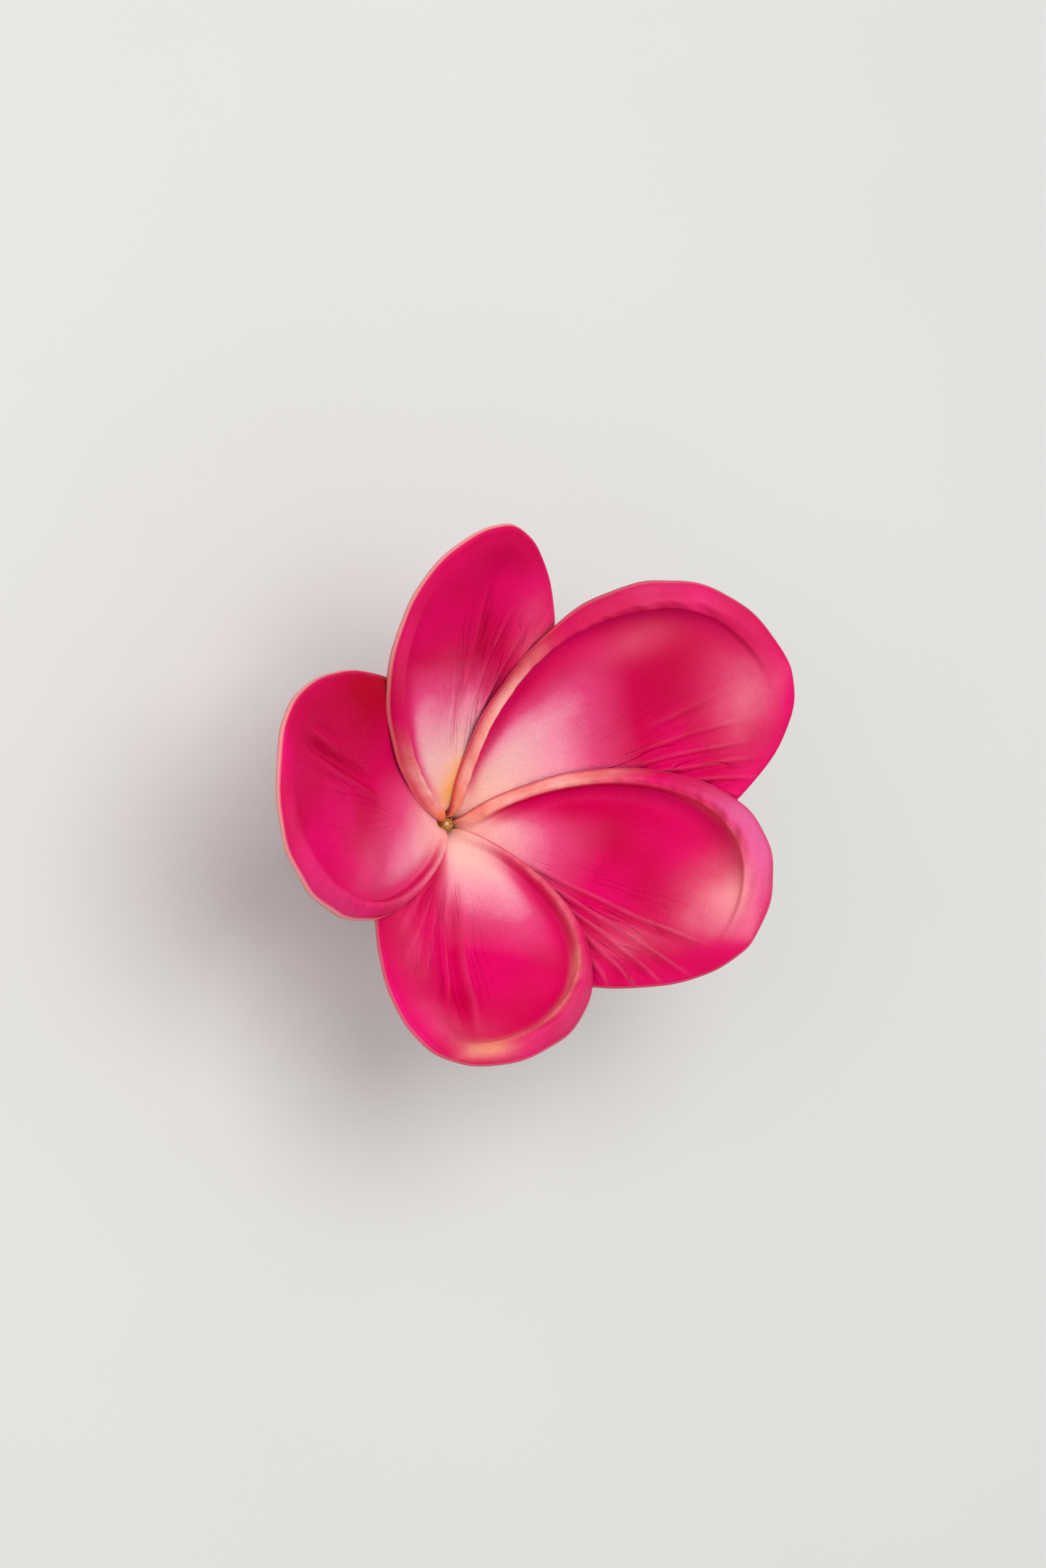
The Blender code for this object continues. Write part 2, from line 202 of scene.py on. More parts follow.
# ---- The five petals ----
# Each is cut from thin foam sheet, pressed hot between dies into a cupped blade with a rolled
# lip and embossed veins, airbrushed, and glued into the cup so that its lip laps the next one.
# Millimetres and degrees; "lip" is the lapping edge, anticlockwise, and "tuck" the other.
MM = 0.001
THROAT_RADIUS = 1.9
THROAT_DROP = 1.6
THROAT_BEND = 5.0
BLADE_START = 37.5
BLADE_END = 42.9
BLADE_BEND_LENGTH = 51.8
ROOT_DEPTH = 6.0
WHEEL_STEP = 2.3
WHEEL_STEP_ROOT = 1.05
FOAM = 1.3
FOAM_ROOT = 0.9
RIM_ROUNDING = 0.40
LIP_PRESS = 0.15
TIP_POWER = 0.52
LIP_ROOT_POWER = 0.66
TUCK_ROOT_POWER = 0.47
MERIDIAN_STEPS = 24
PETALS = {
    "petal_upper_right": {
        "azimuth": 27.0, "length": 54.2, "lip_half": 27.2, "tuck_half": 19.6, "rise": 0.0,
        "sweep": 1.8, "lip_width": (1.8, 3.7), "lip_height": (0.9, 2.1), "trough": 1.5,
        "lip_end": (150.0, 85.0), "lip_grow": (0.30, 0.70), "crease": (1.0, 0.0, 0.95),
        # keel: depth, width, side; "ridge": how strongly a painted highlight lies on the folds' ridges;
        # "crease_full": reach where the dark line inside the lip, an airbrushed line near the root and
        # painted shade of the crease further out, is at full strength
        "keel": (0.6, 7.0, -1.0), "ridge": 0.16, "crease_full": 9.0,
        # folds: angle off the petal's axis, from reach, to reach, depth, width, bend
        "folds": (
            (-5.0, 26, 48, 0.22, 0.6, 0.003), (-9.5, 24, 48, 0.30, 0.55, 0.003),
            (-13.5, 23, 48, 0.34, 0.55, 0.003), (-17.5, 22, 48, 0.34, 0.55, 0.003),
            (-21.5, 22, 46, 0.30, 0.6, 0.003), (1.0, 30, 46, 0.18, 0.7, 0.0)),
        # veined sector: middle angle, half spread, from reach, to reach, strength
        "veined": (-13.0, 17.0, 19.0, 48.0, 1.0),
        # pale spray: solid to, gone by, tilt to the lip side, lowest side, highest side, strength
        "pale": (0.16, 0.56, 0.10, -1.5, 0.66, 1.0),
        # sprays, painted highlights and painted shade: share of length, side, spread along, spread
        # across, strength
        "gold": ((0.05, -0.4, 0.10, 0.8, 0.35), (0.20, -0.5, 0.12, 0.4, 0.22)),
        "painted_highlight": ((0.86, -0.15, 0.10, 0.45, 0.50), (0.66, 0.62, 0.10, 0.12, 0.22)),
        "painted_shade": ((0.74, 0.40, 0.12, 0.35, 0.45),), "yellow": ((0.07, 0.1, 0.07, 0.5, 0.12),),
        "coral": (1.0, 0.16, 0.46), "lilac_reflection": 0.10, "rim": 0.25, "orange": 0.5,
        "lip_pale": 0.2,
    },
    "petal_top": {
        "azimuth": 99.0, "length": 51.1, "lip_half": 20.0, "tuck_half": 15.1, "rise": 3.0,
        "sweep": 1.5, "lip_width": (2.0, 2.2), "lip_height": (0.9, 0.15), "trough": 0.5,
        "lip_end": (110.0, 50.0), "lip_grow": (0.08, 0.75), "crease": (0.6, 0.0, 0.60),
        "keel": (1.5, 4.5, -1.0), "ridge": 0.10, "crease_full": 9.0,
        "folds": (
            (7.0, 12, 30, 0.35, 0.7, 0.002), (0.0, 18, 42, 0.55, 0.9, 0.0),
            (-7.0, 16, 38, 0.38, 0.7, 0.003), (-13.0, 14, 36, 0.32, 0.6, 0.003),
            (-18.0, 12, 34, 0.26, 0.6, 0.003)),
        "veined": (-4.0, 20.0, 8.0, 42.0, 0.7),
        "pale": (0.20, 0.56, 0.05, -0.36, 0.86, 1.1),
        "gold": ((0.08, -0.4, 0.08, 0.5, 1.0), (0.15, -0.2, 0.10, 0.35, 0.4)),
        "painted_highlight": ((0.58, -0.75, 0.14, 0.25, 0.28), (0.50, 0.30, 0.10, 0.30, 0.18)),
        "painted_shade": ((0.66, 0.10, 0.16, 0.50, 0.35),),
        "yellow": ((0.10, 0.00, 0.05, 0.38, 1.0), (0.17, -0.12, 0.06, 0.28, 0.75)),
        "coral": (0.9, 0.10, 0.40), "lilac_reflection": 0.0, "rim": 0.8, "orange": 1.0,
        "lip_pale": 0.3,
    },
    "petal_left": {
        "azimuth": 167.0, "length": 55.1, "lip_half": 25.3, "tuck_half": 17.5, "rise": 2.5,
        "sweep": 1.3, "lip_width": (1.9, 2.8), "lip_height": (0.9, 1.6), "trough": 1.2,
        "lip_end": (140.0, 60.0), "lip_grow": (0.08, 0.75), "crease": (0.8, 0.0, 1.20),
        "keel": (1.0, 5.0, -1.5), "ridge": 0.03, "crease_full": 12.0,
        "folds": (
            (0.0, 20, 50, 0.95, 1.4, 0.0), (-5.0, 34, 50, 0.35, 0.9, 0.0),
            (6.0, 34, 46, 0.25, 0.8, 0.0)),
        "veined": (8.0, 26.0, 12.0, 50.0, 0.35),
        "pale": (0.02, 0.42, 0.16, -0.30, 1.05, 0.74),
        "gold": ((0.03, -0.4, 0.05, 0.6, 0.3),),
        "painted_highlight": ((0.45, 0.60, 0.12, 0.25, 0.12),),
        "painted_shade": (
            (0.64, -0.80, 0.22, 0.42, 0.95), (0.38, -0.95, 0.16, 0.30, 0.7),
            (0.60, -0.05, 0.16, 0.13, 0.40)),
        "yellow": (),
        "coral": (0.20, 0.10, 0.35), "lilac_reflection": 0.10, "rim": 0.8, "orange": 0.15,
        "lip_pale": 0.5,
    },
    "petal_bottom": {
        "azimuth": 253.0, "length": 43.7, "lip_half": 23.9, "tuck_half": 14.9, "rise": -3.0,
        "sweep": -2.5, "lip_width": (2.5, 3.6), "lip_height": (1.1, 2.3), "trough": 1.3,
        "lip_end": (140.0, 80.0), "lip_grow": (0.20, 0.80), "crease": (0.80, 0.50, 0.55),
        "keel": (1.6, 4.0, 0.5), "ridge": 0.08, "crease_full": 20.0,
        "folds": (
            (5.0, 8, 26, 0.24, 0.6, 0.0), (0.0, 9, 40, 0.80, 0.8, -0.003),
            (-4.0, 12, 36, 0.30, 0.6, -0.001), (-12.0, 12, 34, 0.24, 0.6, 0.002),
            (-19.0, 10, 33, 0.28, 0.6, 0.003), (-26.0, 9, 30, 0.22, 0.6, 0.003)),
        "veined": (-8.0, 24.0, 7.0, 38.0, 0.6),
        "pale": (0.10, 0.50, 0.10, -0.12, 0.74, 0.88),
        "gold": ((0.95, 0.45, 0.04, 0.30, 0.35),),
        "painted_highlight": ((0.55, -0.55, 0.22, 0.28, 0.12), (0.88, -0.1, 0.08, 0.5, 0.20)),
        "painted_shade": (), "yellow": ((0.93, 0.55, 0.035, 0.22, 0.35),),
        "coral": (0.22, 0.20, 0.50), "lilac_reflection": 0.15, "rim": 0.3, "orange": 0.05,
        "lip_pale": 1.0,
    },
    "petal_lower_right": {
        "azimuth": 323.0, "length": 48.7, "lip_half": 25.9, "tuck_half": 17.6, "rise": 6.5,
        "sweep": 4.2, "lip_width": (2.9, 4.0), "lip_height": (1.1, 2.7), "trough": 1.8,
        "lip_end": (150.0, 85.0), "lip_grow": (0.10, 0.75), "crease": (1.0, 0.12, 0.60),
        "keel": (0.8, 6.0, -1.0), "ridge": 0.18, "crease_full": 11.0,
        "folds": (
            (-4.0, 10, 46, 0.34, 0.6, -0.002), (-9.0, 16, 46, 0.36, 0.55, 0.001),
            (-13.0, 15, 45, 0.42, 0.55, 0.003), (-17.5, 15, 44, 0.40, 0.55, 0.004),
            (-22.0, 15, 40, 0.34, 0.6, 0.005)),
        "veined": (-13.0, 18.0, 9.0, 44.0, 1.1),
        "pale": (0.04, 0.48, -0.04, -1.5, 0.46, 0.95),
        "gold": ((0.88, 0.50, 0.07, 0.22, 0.16), (0.03, 0.5, 0.05, 0.5, 0.4)),
        "painted_highlight": ((0.66, -0.45, 0.10, 0.22, 0.30), (0.87, 0.36, 0.11, 0.42, 0.95)),
        "painted_shade": ((0.44, 0.42, 0.18, 0.30, 0.60),), "yellow": ((0.05, 0.3, 0.05, 0.5, 0.2),),
        "coral": (0.85, 0.14, 0.42), "lilac_reflection": 0.8, "rim": 0.2, "orange": 0.15,
        "lip_pale": 0.6,
    },
}
petal_list = list(PETALS.values())
petal_azimuths = np.array([petal["azimuth"] for petal in petal_list])
petal_rises = np.array([petal["rise"] for petal in petal_list])


def smooth_step(value, low, high):
    t = np.clip((value - low) / (high - low), 0.0, 1.0)
    return t * t * (3.0 - 2.0 * t)


def hump(value, middle, spread):
    return np.exp(-((value - middle) / spread) ** 2)


def wheel_place(azimuth):
    """Turns round the flower, counted in petals from the first one."""
    starts = np.append(petal_azimuths, petal_azimuths[0] + 360.0) - petal_azimuths[0]
    return np.interp((azimuth - petal_azimuths[0]) % 360.0, starts, np.arange(6.0))


def petal_slope(along, rise):
    start = np.radians(BLADE_START + rise)
    bend = np.sin(0.5 * math.pi * np.clip(along / THROAT_BEND, 0.0, 1.0))
    throat_part = 0.5 * math.pi + (start - 0.5 * math.pi) * bend
    per_mm = math.radians(BLADE_END - BLADE_START) / (BLADE_BEND_LENGTH - THROAT_BEND)
    return np.where(along < THROAT_BEND, throat_part, start + per_mm * (along - THROAT_BEND))


def cup_points(azimuth, along, lift):
    """Points on the shared cup: along its meridian from the throat, lifted off it inwards."""
    place = wheel_place(azimuth)
    index = np.floor(place).astype(int) % 5
    share = smooth_step(place - np.floor(place), 0.0, 1.0)
    rise = petal_rises[index] * (1.0 - share) + petal_rises[(index + 1) % 5] * share
    run = np.maximum(along, 0.0)
    radius = np.full_like(run, THROAT_RADIUS)
    height = np.minimum(along, 0.0)
    for step in range(MERIDIAN_STEPS):
        slope = petal_slope(run * (step + 0.5) / MERIDIAN_STEPS, rise)
        radius += np.cos(slope) * run / MERIDIAN_STEPS
        height += np.sin(slope) * run / MERIDIAN_STEPS
    slope = petal_slope(along, rise)
    radius -= np.sin(slope) * lift
    height += np.cos(slope) * lift - THROAT_DROP
    turn = np.radians(azimuth)
    points = np.stack([radius * np.cos(turn), radius * np.sin(turn), height], axis=-1)
    return points * MM + np.array(throat)


def half_width(petal, share, side):
    """Half width at a share of the petal's length, on its lip side or its tuck side."""
    widths = []
    for widest, root_power in (
            (petal["lip_half"], LIP_ROOT_POWER), (petal["tuck_half"], TUCK_ROOT_POWER)):
        peak = root_power / (root_power + TIP_POWER)
        root = (np.maximum(share, 0.0) / peak) ** root_power
        tip = (np.maximum(1.0 - share, 0.0) / (1.0 - peak)) ** TIP_POWER
        widths.append(widest * root * tip)
    return np.where(side > 0.0, widths[0], widths[1])


def root_squeeze(angle, reach):
    """How much of its spread a petal keeps in the throat, on its lip side and its tuck side."""
    lip_side = 0.72 + 0.28 * smooth_step(reach, 0.5, 4.5)
    tuck_side = 0.36 + 0.64 * smooth_step(reach, 1.0, 17.0)
    return np.where(angle > 0.0, lip_side, tuck_side)


def wheel_step(reach):
    """From one petal's face to the next one's, which lie closest in the throat."""
    return WHEEL_STEP_ROOT + (WHEEL_STEP - WHEEL_STEP_ROOT) * smooth_step(reach, 2.0, 14.0)


def blade_place(x, y):
    """Share of the length and of the half width, from a place in the round slab."""
    across = np.clip(x / np.sqrt(np.maximum(1.0 - y * y, 1e-9)), -1.0, 1.0)
    return 0.5 * (1.0 + y), across


def edge_distance(petal, x, y, share, across):
    """Millimetres in from the petal's rim, from its place in the round slab."""
    chord = np.sqrt(np.maximum(1.0 - y * y, 1e-9))
    middle = np.maximum(np.hypot(x, y), 1e-6)
    half = np.maximum(half_width(petal, share, across), 0.5)
    steepness = np.hypot(x * chord / (middle * half), 2.0 * y / (middle * petal["length"]))
    return (1.0 - np.hypot(x, y)) / np.maximum(steepness, 1e-3), steepness


def lip_share(petal, x, y):
    """1 along the lapping edge and round the tip, fading out where the lip ends."""
    gone, full = petal["lip_end"]
    around = (np.degrees(np.arctan2(y, x)) + 90.0) % 360.0
    return 1.0 - smooth_step(around, full + 30.0, gone + 45.0)


def lip_size(petal, share):
    """Width and height of the lip: it keeps its width where the plan is squeezed at the root."""
    grow = smooth_step(share, *petal["lip_grow"])
    width, height = (
        start + (end - start) * grow for start, end in (petal["lip_width"], petal["lip_height"]))
    return width * (1.0 + 0.25 * (1.0 - smooth_step(share, 0.02, 0.12))), height


def trough_depth(petal, x, y, share, across, reach):
    """How far the blade sinks just inside its lip, so that the lip stands over it."""
    edge, _ = edge_distance(petal, x, y, share, across)
    width, _ = lip_size(petal, share)
    sunk = petal["trough"] * hump(edge, 1.75 * width, 1.05 * width)
    return np.where(edge > 0.0, sunk, 0.0) * lip_share(petal, x, y) * smooth_step(reach, 4.0, 18.0)


def trough_from_above(petal, azimuth, reach):
    """The trough of the petal that laps over these points, which they sink with."""
    turned = (azimuth - petal["azimuth"] + 180.0) % 360.0 - 180.0
    angle = np.clip(turned / root_squeeze(turned, reach), -89.0, 89.0)
    a = reach * np.cos(np.radians(angle))
    b = reach * np.sin(np.radians(angle))
    share = np.clip(a / petal["length"], 0.0, 0.999)
    across = b - petal["sweep"] * share * share
    across = across / np.maximum(half_width(petal, share, across), 0.5)
    inside = (np.abs(across) < 1.0) & (a < petal["length"]) & (np.abs(turned) < 80.0)
    y = 2.0 * share - 1.0
    x = np.clip(across, -1.0, 1.0) * np.sqrt(1.0 - y * y)
    return np.where(inside, trough_depth(petal, x, y, share, across, reach), 0.0)


def fold_relief(petal, angle, reach):
    """Pressed folds that fan out from the throat, each with a soft ridge beside it, with painted shade
    for their grooves and a painted highlight for their ridges.
    """
    relief = np.zeros_like(reach)
    groove_shade = np.zeros_like(reach)
    ridge_highlight = np.zeros_like(reach)
    for number, (fold_angle, low, high, depth, width, bend) in enumerate(petal["folds"]):
        wander = 0.10 * np.sin(0.45 * reach + 2.1 * number)
        off = reach * np.radians(angle - fold_angle) + wander + bend * (reach - low) ** 2
        taper = smooth_step(reach, low, low + 7.0) * (1.0 - smooth_step(reach, high - 9.0, high))
        groove = hump(off, 0.0, width)
        ridge = hump(off, 1.7 * width, 1.1 * width)
        relief += 1.3 * taper * depth * (0.8 * ridge - groove)
        groove_shade += taper * groove * min(depth / 0.35, 1.0)
        ridge_highlight += taper * hump(off, 1.5 * width, 0.45 * width) * min(depth / 0.35, 1.0)
    return relief, np.clip(groove_shade, 0.0, 1.0), np.clip(ridge_highlight, 0.0, 1.0)


def petal_slab(cells):
    """A thin round slab of quads: its front at depth 0, back at depth 1, and a ringed rim."""
    bm = bmesh.new()
    bmesh.ops.create_grid(bm, x_segments=cells, y_segments=cells, size=1.0)
    grown = bmesh.ops.extrude_face_region(bm, geom=bm.faces[:], use_keep_orig=True)
    back = [item for item in grown["geom"] if isinstance(item, bmesh.types.BMVert)]
    bmesh.ops.translate(bm, verts=back, vec=(0.0, 0.0, 1.0))
    bmesh.ops.recalc_face_normals(bm, faces=bm.faces[:])
    rim = [edge for edge in bm.edges if abs(edge.verts[0].co.z - edge.verts[1].co.z) > 0.5]
    bmesh.ops.subdivide_edges(bm, edges=rim, cuts=3, use_grid_fill=True)
    return mesh_from(bm, "petal_slab")


slab = petal_slab(164)
slab_points = np.zeros(len(slab.vertices) * 3)
slab.vertices.foreach_get("co", slab_points)
slab_points = slab_points.reshape(-1, 3)


def finished(name, mesh, finish):
    """Shows a mesh with its finish on it."""
    mesh.name = name
    mesh.materials.append(finish)
    mesh.shade_smooth()
    return show(name, mesh)


def put(name, mesh, finish, body, *nodes, finish_slot=None):
    """Shows a mesh as a piece that rides on a body, standing for the CAD nodes that are named."""
    piece = finished(name, mesh, finish)
    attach(piece, body)
    if nodes:
        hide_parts(*nodes)
    return piece


def shape_petal(name, index):
    petal = PETALS[name]
    square_x, square_y, depth = slab_points.T
    x = square_x * np.sqrt(1.0 - 0.5 * square_y ** 2)
    y = square_y * np.sqrt(1.0 - 0.5 * square_x ** 2)
    # more rows of the mesh lie near the rim, where the lip is
    round_share = np.maximum(np.hypot(x, y), 1e-9)
    closer = (0.45 * round_share + 0.55 * np.sin(0.5 * math.pi * round_share)) / round_share
    x = x * closer
    y = y * closer
    share, across = blade_place(x, y)
    _, steepness = edge_distance(petal, x, y, share, across)
    # the rim is rounded over, but flat underneath where it lies on the next petal
    shy = RIM_ROUNDING * (1.0 - np.sqrt(np.clip(1.0 - (2.0 * depth - 1.0) ** 2, 0.0, 1.0)))
    shy = shy * np.where(depth > 0.5, 1.0 - 0.9 * lip_share(petal, x, y), 1.0)
    shrink = 1.0 - shy * np.minimum(steepness, 0.15)
    turn = np.arctan2(x, -y)
    shrink *= 1.0 - 0.004 * (1.0 + np.sin(5.0 * turn + index) * np.sin(11.0 * turn + 2.0 * index))
    x = x * shrink
    y = y * shrink
    share, across = blade_place(x, y)
    edge, _ = edge_distance(petal, x, y, share, across)
    a = petal["length"] * share
    b = across * half_width(petal, share, across) + petal["sweep"] * share * share
    reach = np.hypot(a, b)
    plan_angle = np.degrees(np.arctan2(b, np.maximum(a, 1e-6)))
    azimuth = petal["azimuth"] + plan_angle * root_squeeze(plan_angle, reach)
    out = smooth_step(reach, 4.0, 16.0)
    # the rolled lip, whose rim turns down on to the next petal, and the trough inside it
    lipped = lip_share(petal, x, y)
    lip_width, lip_height = lip_size(petal, share)
    crown = np.sin(0.5 * math.pi * np.clip(edge / (0.55 * lip_width), 0.0, 1.0))
    crown *= 1.0 - smooth_step(edge, 0.82 * lip_width, 0.82 * lip_width + 1.1)
    lumpy = 1.0 + 0.10 * np.sin(1.3 * reach + index) * np.sin(0.47 * reach + 2.0 * index)
    lumpy += 0.06 * np.sin(2.7 * reach + 3.0 * index) * np.sin(0.61 * reach + index)
    foam = FOAM_ROOT + (FOAM - FOAM_ROOT) * smooth_step(reach, 3.0, 12.0)
    down = wheel_step(reach) - foam + LIP_PRESS * smooth_step(reach, 3.0, 10.0)
    lip = lipped * lumpy * lip_height * crown * smooth_step(reach, 1.5, 6.0)
    lip -= lipped * down * hump(edge, 0.0, 1.1)
    lip -= 0.5 * (1.0 - lipped) * hump(edge, 0.0, 2.2) * out
    sunk = trough_depth(petal, x, y, share, across, reach)
    sunk = sunk + trough_from_above(petal_list[(index - 1) % 5], azimuth, reach)
    # the keel down the middle, slow waves in the foam, and the pressed folds
    keel_depth, keel_width, keel_side = petal["keel"]
    keel = keel_depth * hump(b, keel_side, keel_width) * smooth_step(share, 0.18, 0.45)
    keel *= 1.0 - smooth_step(share, 0.80, 0.98)
    wave = 0.14 * np.sin(a / 5.5 + index) * np.sin(b / 4.2 + 2.0 * index) * out
    relief, groove_shade, ridge_highlight = fold_relief(petal, plan_angle, reach)
    relief = relief * smooth_step(edge, 0.3, 3.0) * (1.0 - 0.85 * depth)
    place = (wheel_place(azimuth) - index + 2.5) % 5.0 - 2.5
    lift = wheel_step(reach) * place + lip - sunk - keel + wave + relief - foam * depth
    along = reach - ROOT_DEPTH * (1.0 - smooth_step(reach, 0.0, 5.0))
    mesh = slab.copy()
    mesh.vertices.foreach_set("co", cup_points(azimuth, along, lift).ravel())
    paint_petal(
        mesh, petal, depth, share, across, edge, lipped, lip_width, plan_angle, reach,
        groove_shade, ridge_highlight)
    mesh.update()
    put(name + "_foam", mesh, petal_finish, "flower_and_upper_jaw", name,
                  finish_slot="petal_foam")


def spots(listed, share, across):
    """Soft round patches added together: sprayed colours, painted highlights and painted shade."""
    total = np.zeros_like(share)
    for along, side, spread_along, spread_across, strength in listed:
        total += strength * hump(share, along, spread_along) * hump(across, side, spread_across)
    return total


def paint_petal(
        mesh, petal, depth, share, across, edge, lipped, lip_width, angle, reach, folds, ridge_highlights):
    """Lays the airbrush masks, painted highlights, painted reflection and painted shade on the mesh, and
    the fan of directions that its veins follow.
    """
    front = 1.0 - smooth_step(depth, 0.0, 0.5)
    solid, gone, tilt, low_side, high_side, strength = petal["pale"]
    fade = np.clip((share - tilt * across - solid) / (gone - solid), 0.0, 1.0)
    pale = strength * (1.0 - fade) ** 1.25
    pale *= smooth_step(across, low_side - 0.20, low_side + 0.25)
    pale *= 1.0 - smooth_step(across, high_side - 0.30, high_side + 0.16)
    crease_line_and_shade, gold_crease, crease_end = petal["crease"]
    # the dark line inside the lip: an airbrushed line near the root, painted shade of the crease further
    # out
    crease = lipped * smooth_step(reach, 2.0, petal["crease_full"]) * np.maximum(
        hump(edge, 0.95 * lip_width + 0.5, 0.65), 0.65 * hump(edge, lip_width + 1.2, 1.5))
    crease *= 1.0 - smooth_step(share, crease_end - 0.15, crease_end)
    crown = lipped * (1.0 - smooth_step(edge, 0.75 * lip_width, 1.10 * lip_width))
    coral_strength, coral_solid, coral_gone = petal["coral"]
    coral = coral_strength * crown * (1.0 - smooth_step(share, coral_solid, coral_gone))
    bare_lip = 1.0 - crown * (1.0 - petal["lip_pale"])
    # painted reflection: a bluish lilac cast on the lip's rolled outer face
    lilac_reflection = petal["lilac_reflection"] * lipped * (1.0 - smooth_step(edge, 0.3 * lip_width, 0.9 * lip_width))
    lilac_reflection *= smooth_step(share, 0.40, 0.75)
    # painted highlight: lighter pink patches on the faces and along the lip crowns
    painted_highlight = spots(petal["painted_highlight"], share, across) + 0.06 * crown * smooth_step(share, 0.3, 0.6)
    # painted highlight along the folds' ridges
    painted_highlight += petal["ridge"] * ridge_highlights
    gold = spots(petal["gold"], share, across)
    # painted shade: dark crimson where a neighbouring petal shades the face
    painted_shade = spots(petal["painted_shade"], share, across) * (1.0 - 0.8 * crown)
    cream = pale * (1.0 - smooth_step(reach, 4.0, 17.0))
    yellow = spots(petal["yellow"], share, across) * (1.0 - 0.6 * crown)
    gold += gold_crease * lipped * hump(edge, 0.95 * lip_width, 0.7) * smooth_step(share, 0.15, 0.6)
    orange = petal["orange"] * crown * (1.0 - smooth_step(reach, 3.0, 9.0))
    rim = petal["rim"] * smooth_step(depth, 0.25, 0.5) * (1.0 - 0.7 * smooth_step(depth, 0.8, 1.0))
    back_pale = 0.6 * smooth_step(depth, 0.6, 1.0) * (1.0 - smooth_step(share, 0.10, 0.60))
    middle, spread, low, high, strength = petal["veined"]
    veined = strength * hump(angle, middle, spread) * smooth_step(reach, low, low + 9.0)
    veined *= 1.0 - smooth_step(reach, high - 10.0, high)
    layers = {
        # red and green: pale and gold paint; blue: the dark crease line, partly paint and partly painted
        # shade
        "spray_and_shade": (pale * (1.0 - 0.85 * crease) * bare_lip * front + back_pale, gold * front,
                  crease_line_and_shade * crease * front),
        # red: coral paint on the lip; green: painted bluish reflection; blue: painted shade in the fold
        # grooves
        "tint_and_painted_light": (coral * front, lilac_reflection * front, folds * front),
        # red: painted highlight; green: orange paint at the root; blue: the bare foam rim
        "highlight_and_touch": (np.clip(painted_highlight * front, 0.0, 1.0), orange * front, rim),
        # red: painted shade; green and blue: yellow and cream paint
        "shade_and_wash": (painted_shade * front, yellow * front, cream * front),
    }
    for layer, masks in layers.items():
        colours = np.ones((len(share), 4))
        colours[:, :3] = np.clip(np.stack(masks, axis=-1), 0.0, 1.25)
        attribute = mesh.color_attributes.new(layer, "FLOAT_COLOR", "POINT")
        attribute.data.foreach_set("color", colours.ravel())
    fan = mesh.attributes.new("fan", "FLOAT_VECTOR", "POINT")
    fan.data.foreach_set("vector", np.stack([angle, reach, veined * front], axis=-1).ravel())


petal_finish, tree, shader, place = start_finish("airbrushed_foam", 0.5, Specular_IOR_Level=0.08)


def mask_outputs(layer):
    colour = add_node(tree, "ShaderNodeAttribute", attribute_name=layer).outputs["Color"]
    return add_node(tree, "ShaderNodeSeparateColor", {"Color": colour}).outputs


spray_and_shade = mask_outputs("spray_and_shade")
tint_and_painted_light = mask_outputs("tint_and_painted_light")
highlight_and_touch = mask_outputs("highlight_and_touch")
shade_and_wash = mask_outputs("shade_and_wash")
fan = add_node(tree, "ShaderNodeAttribute", attribute_name="fan").outputs["Vector"]
fan_parts = add_node(tree, "ShaderNodeSeparateXYZ", {"Vector": fan}).outputs
droplets = grain(tree, place, 0.00030, detail=4.0, roughness=0.75)
mottle = grain(tree, place, 0.0050, detail=3.0)
cloud = grain(tree, place, 0.016, detail=2.0)


def along_fan(turn_size, reach_size, detail, distortion=0.0):
    """Noise drawn out along the lines that fan from the throat."""
    scaled = add_node(
        tree, "ShaderNodeVectorMath", {0: fan, 1: (1.0 / turn_size, 1.0 / reach_size, 0.0)},
        operation="MULTIPLY").outputs["Vector"]
    settings = {"Vector": scaled, "Scale": 1.0, "Detail": detail, "Distortion": distortion}
    return add_node(tree, "ShaderNodeTexNoise", settings, noise_dimensions="2D").outputs["Fac"]


# the veins: a fan of lines that wander, fork and fade, and fine creases between them
wander = along_fan(9.0, 14.0, 2.0)
count = maths(tree, "MULTIPLY_ADD", wander, 2.6, times(tree, fan_parts["X"], 0.30))
wavy = maths(tree, "PINGPONG", count, 0.5)
strand = remap(tree, wavy, 0.33, 0.5)
broken = remap(tree, along_fan(5.0, 16.0, 2.0), 0.40, 0.60)
streaks = along_fan(1.1, 9.0, 3.0, 0.4)
fine = remap(tree, maths(tree, "ABSOLUTE", maths(tree, "SUBTRACT", streaks, 0.5)), 0.0, 0.09)
veins = times(tree, times(tree, strand, broken), fan_parts["Z"])
fine_height = times(tree, fine, maths(tree, "MULTIPLY_ADD", fan_parts["Z"], 0.9, 0.10))
vein_height = times(tree, veins, -1.0)


def sprayed(mask, droplet_share=0.10, mottle_share=0.16):
    """A mask whose fading part breaks up into droplets and patches."""
    fading = times(tree, times(tree, mask, maths(tree, "SUBTRACT", 1.3, mask)), 3.0)
    broken = times(tree, maths(tree, "SUBTRACT", droplets, 0.5), droplet_share)
    patchy = times(tree, maths(tree, "SUBTRACT", mottle, 0.5), mottle_share)
    extra = times(tree, maths(tree, "ADD", broken, patchy), fading)
    return add_node(
        tree, "ShaderNodeMath", {0: mask, 1: extra}, operation="ADD", use_clamp=True).outputs["Value"]


colour = mix_colours(tree, remap(tree, cloud, 0.35, 0.65), (0.60, 0.0, 0.076), (0.73, 0.0, 0.132))
light_spray = sprayed(spray_and_shade["Red"], 0.16, 0.22)
coral = mix_colours(tree, remap(tree, mottle, 0.35, 0.65), (0.93, 0.42, 0.33), (0.97, 0.58, 0.49))
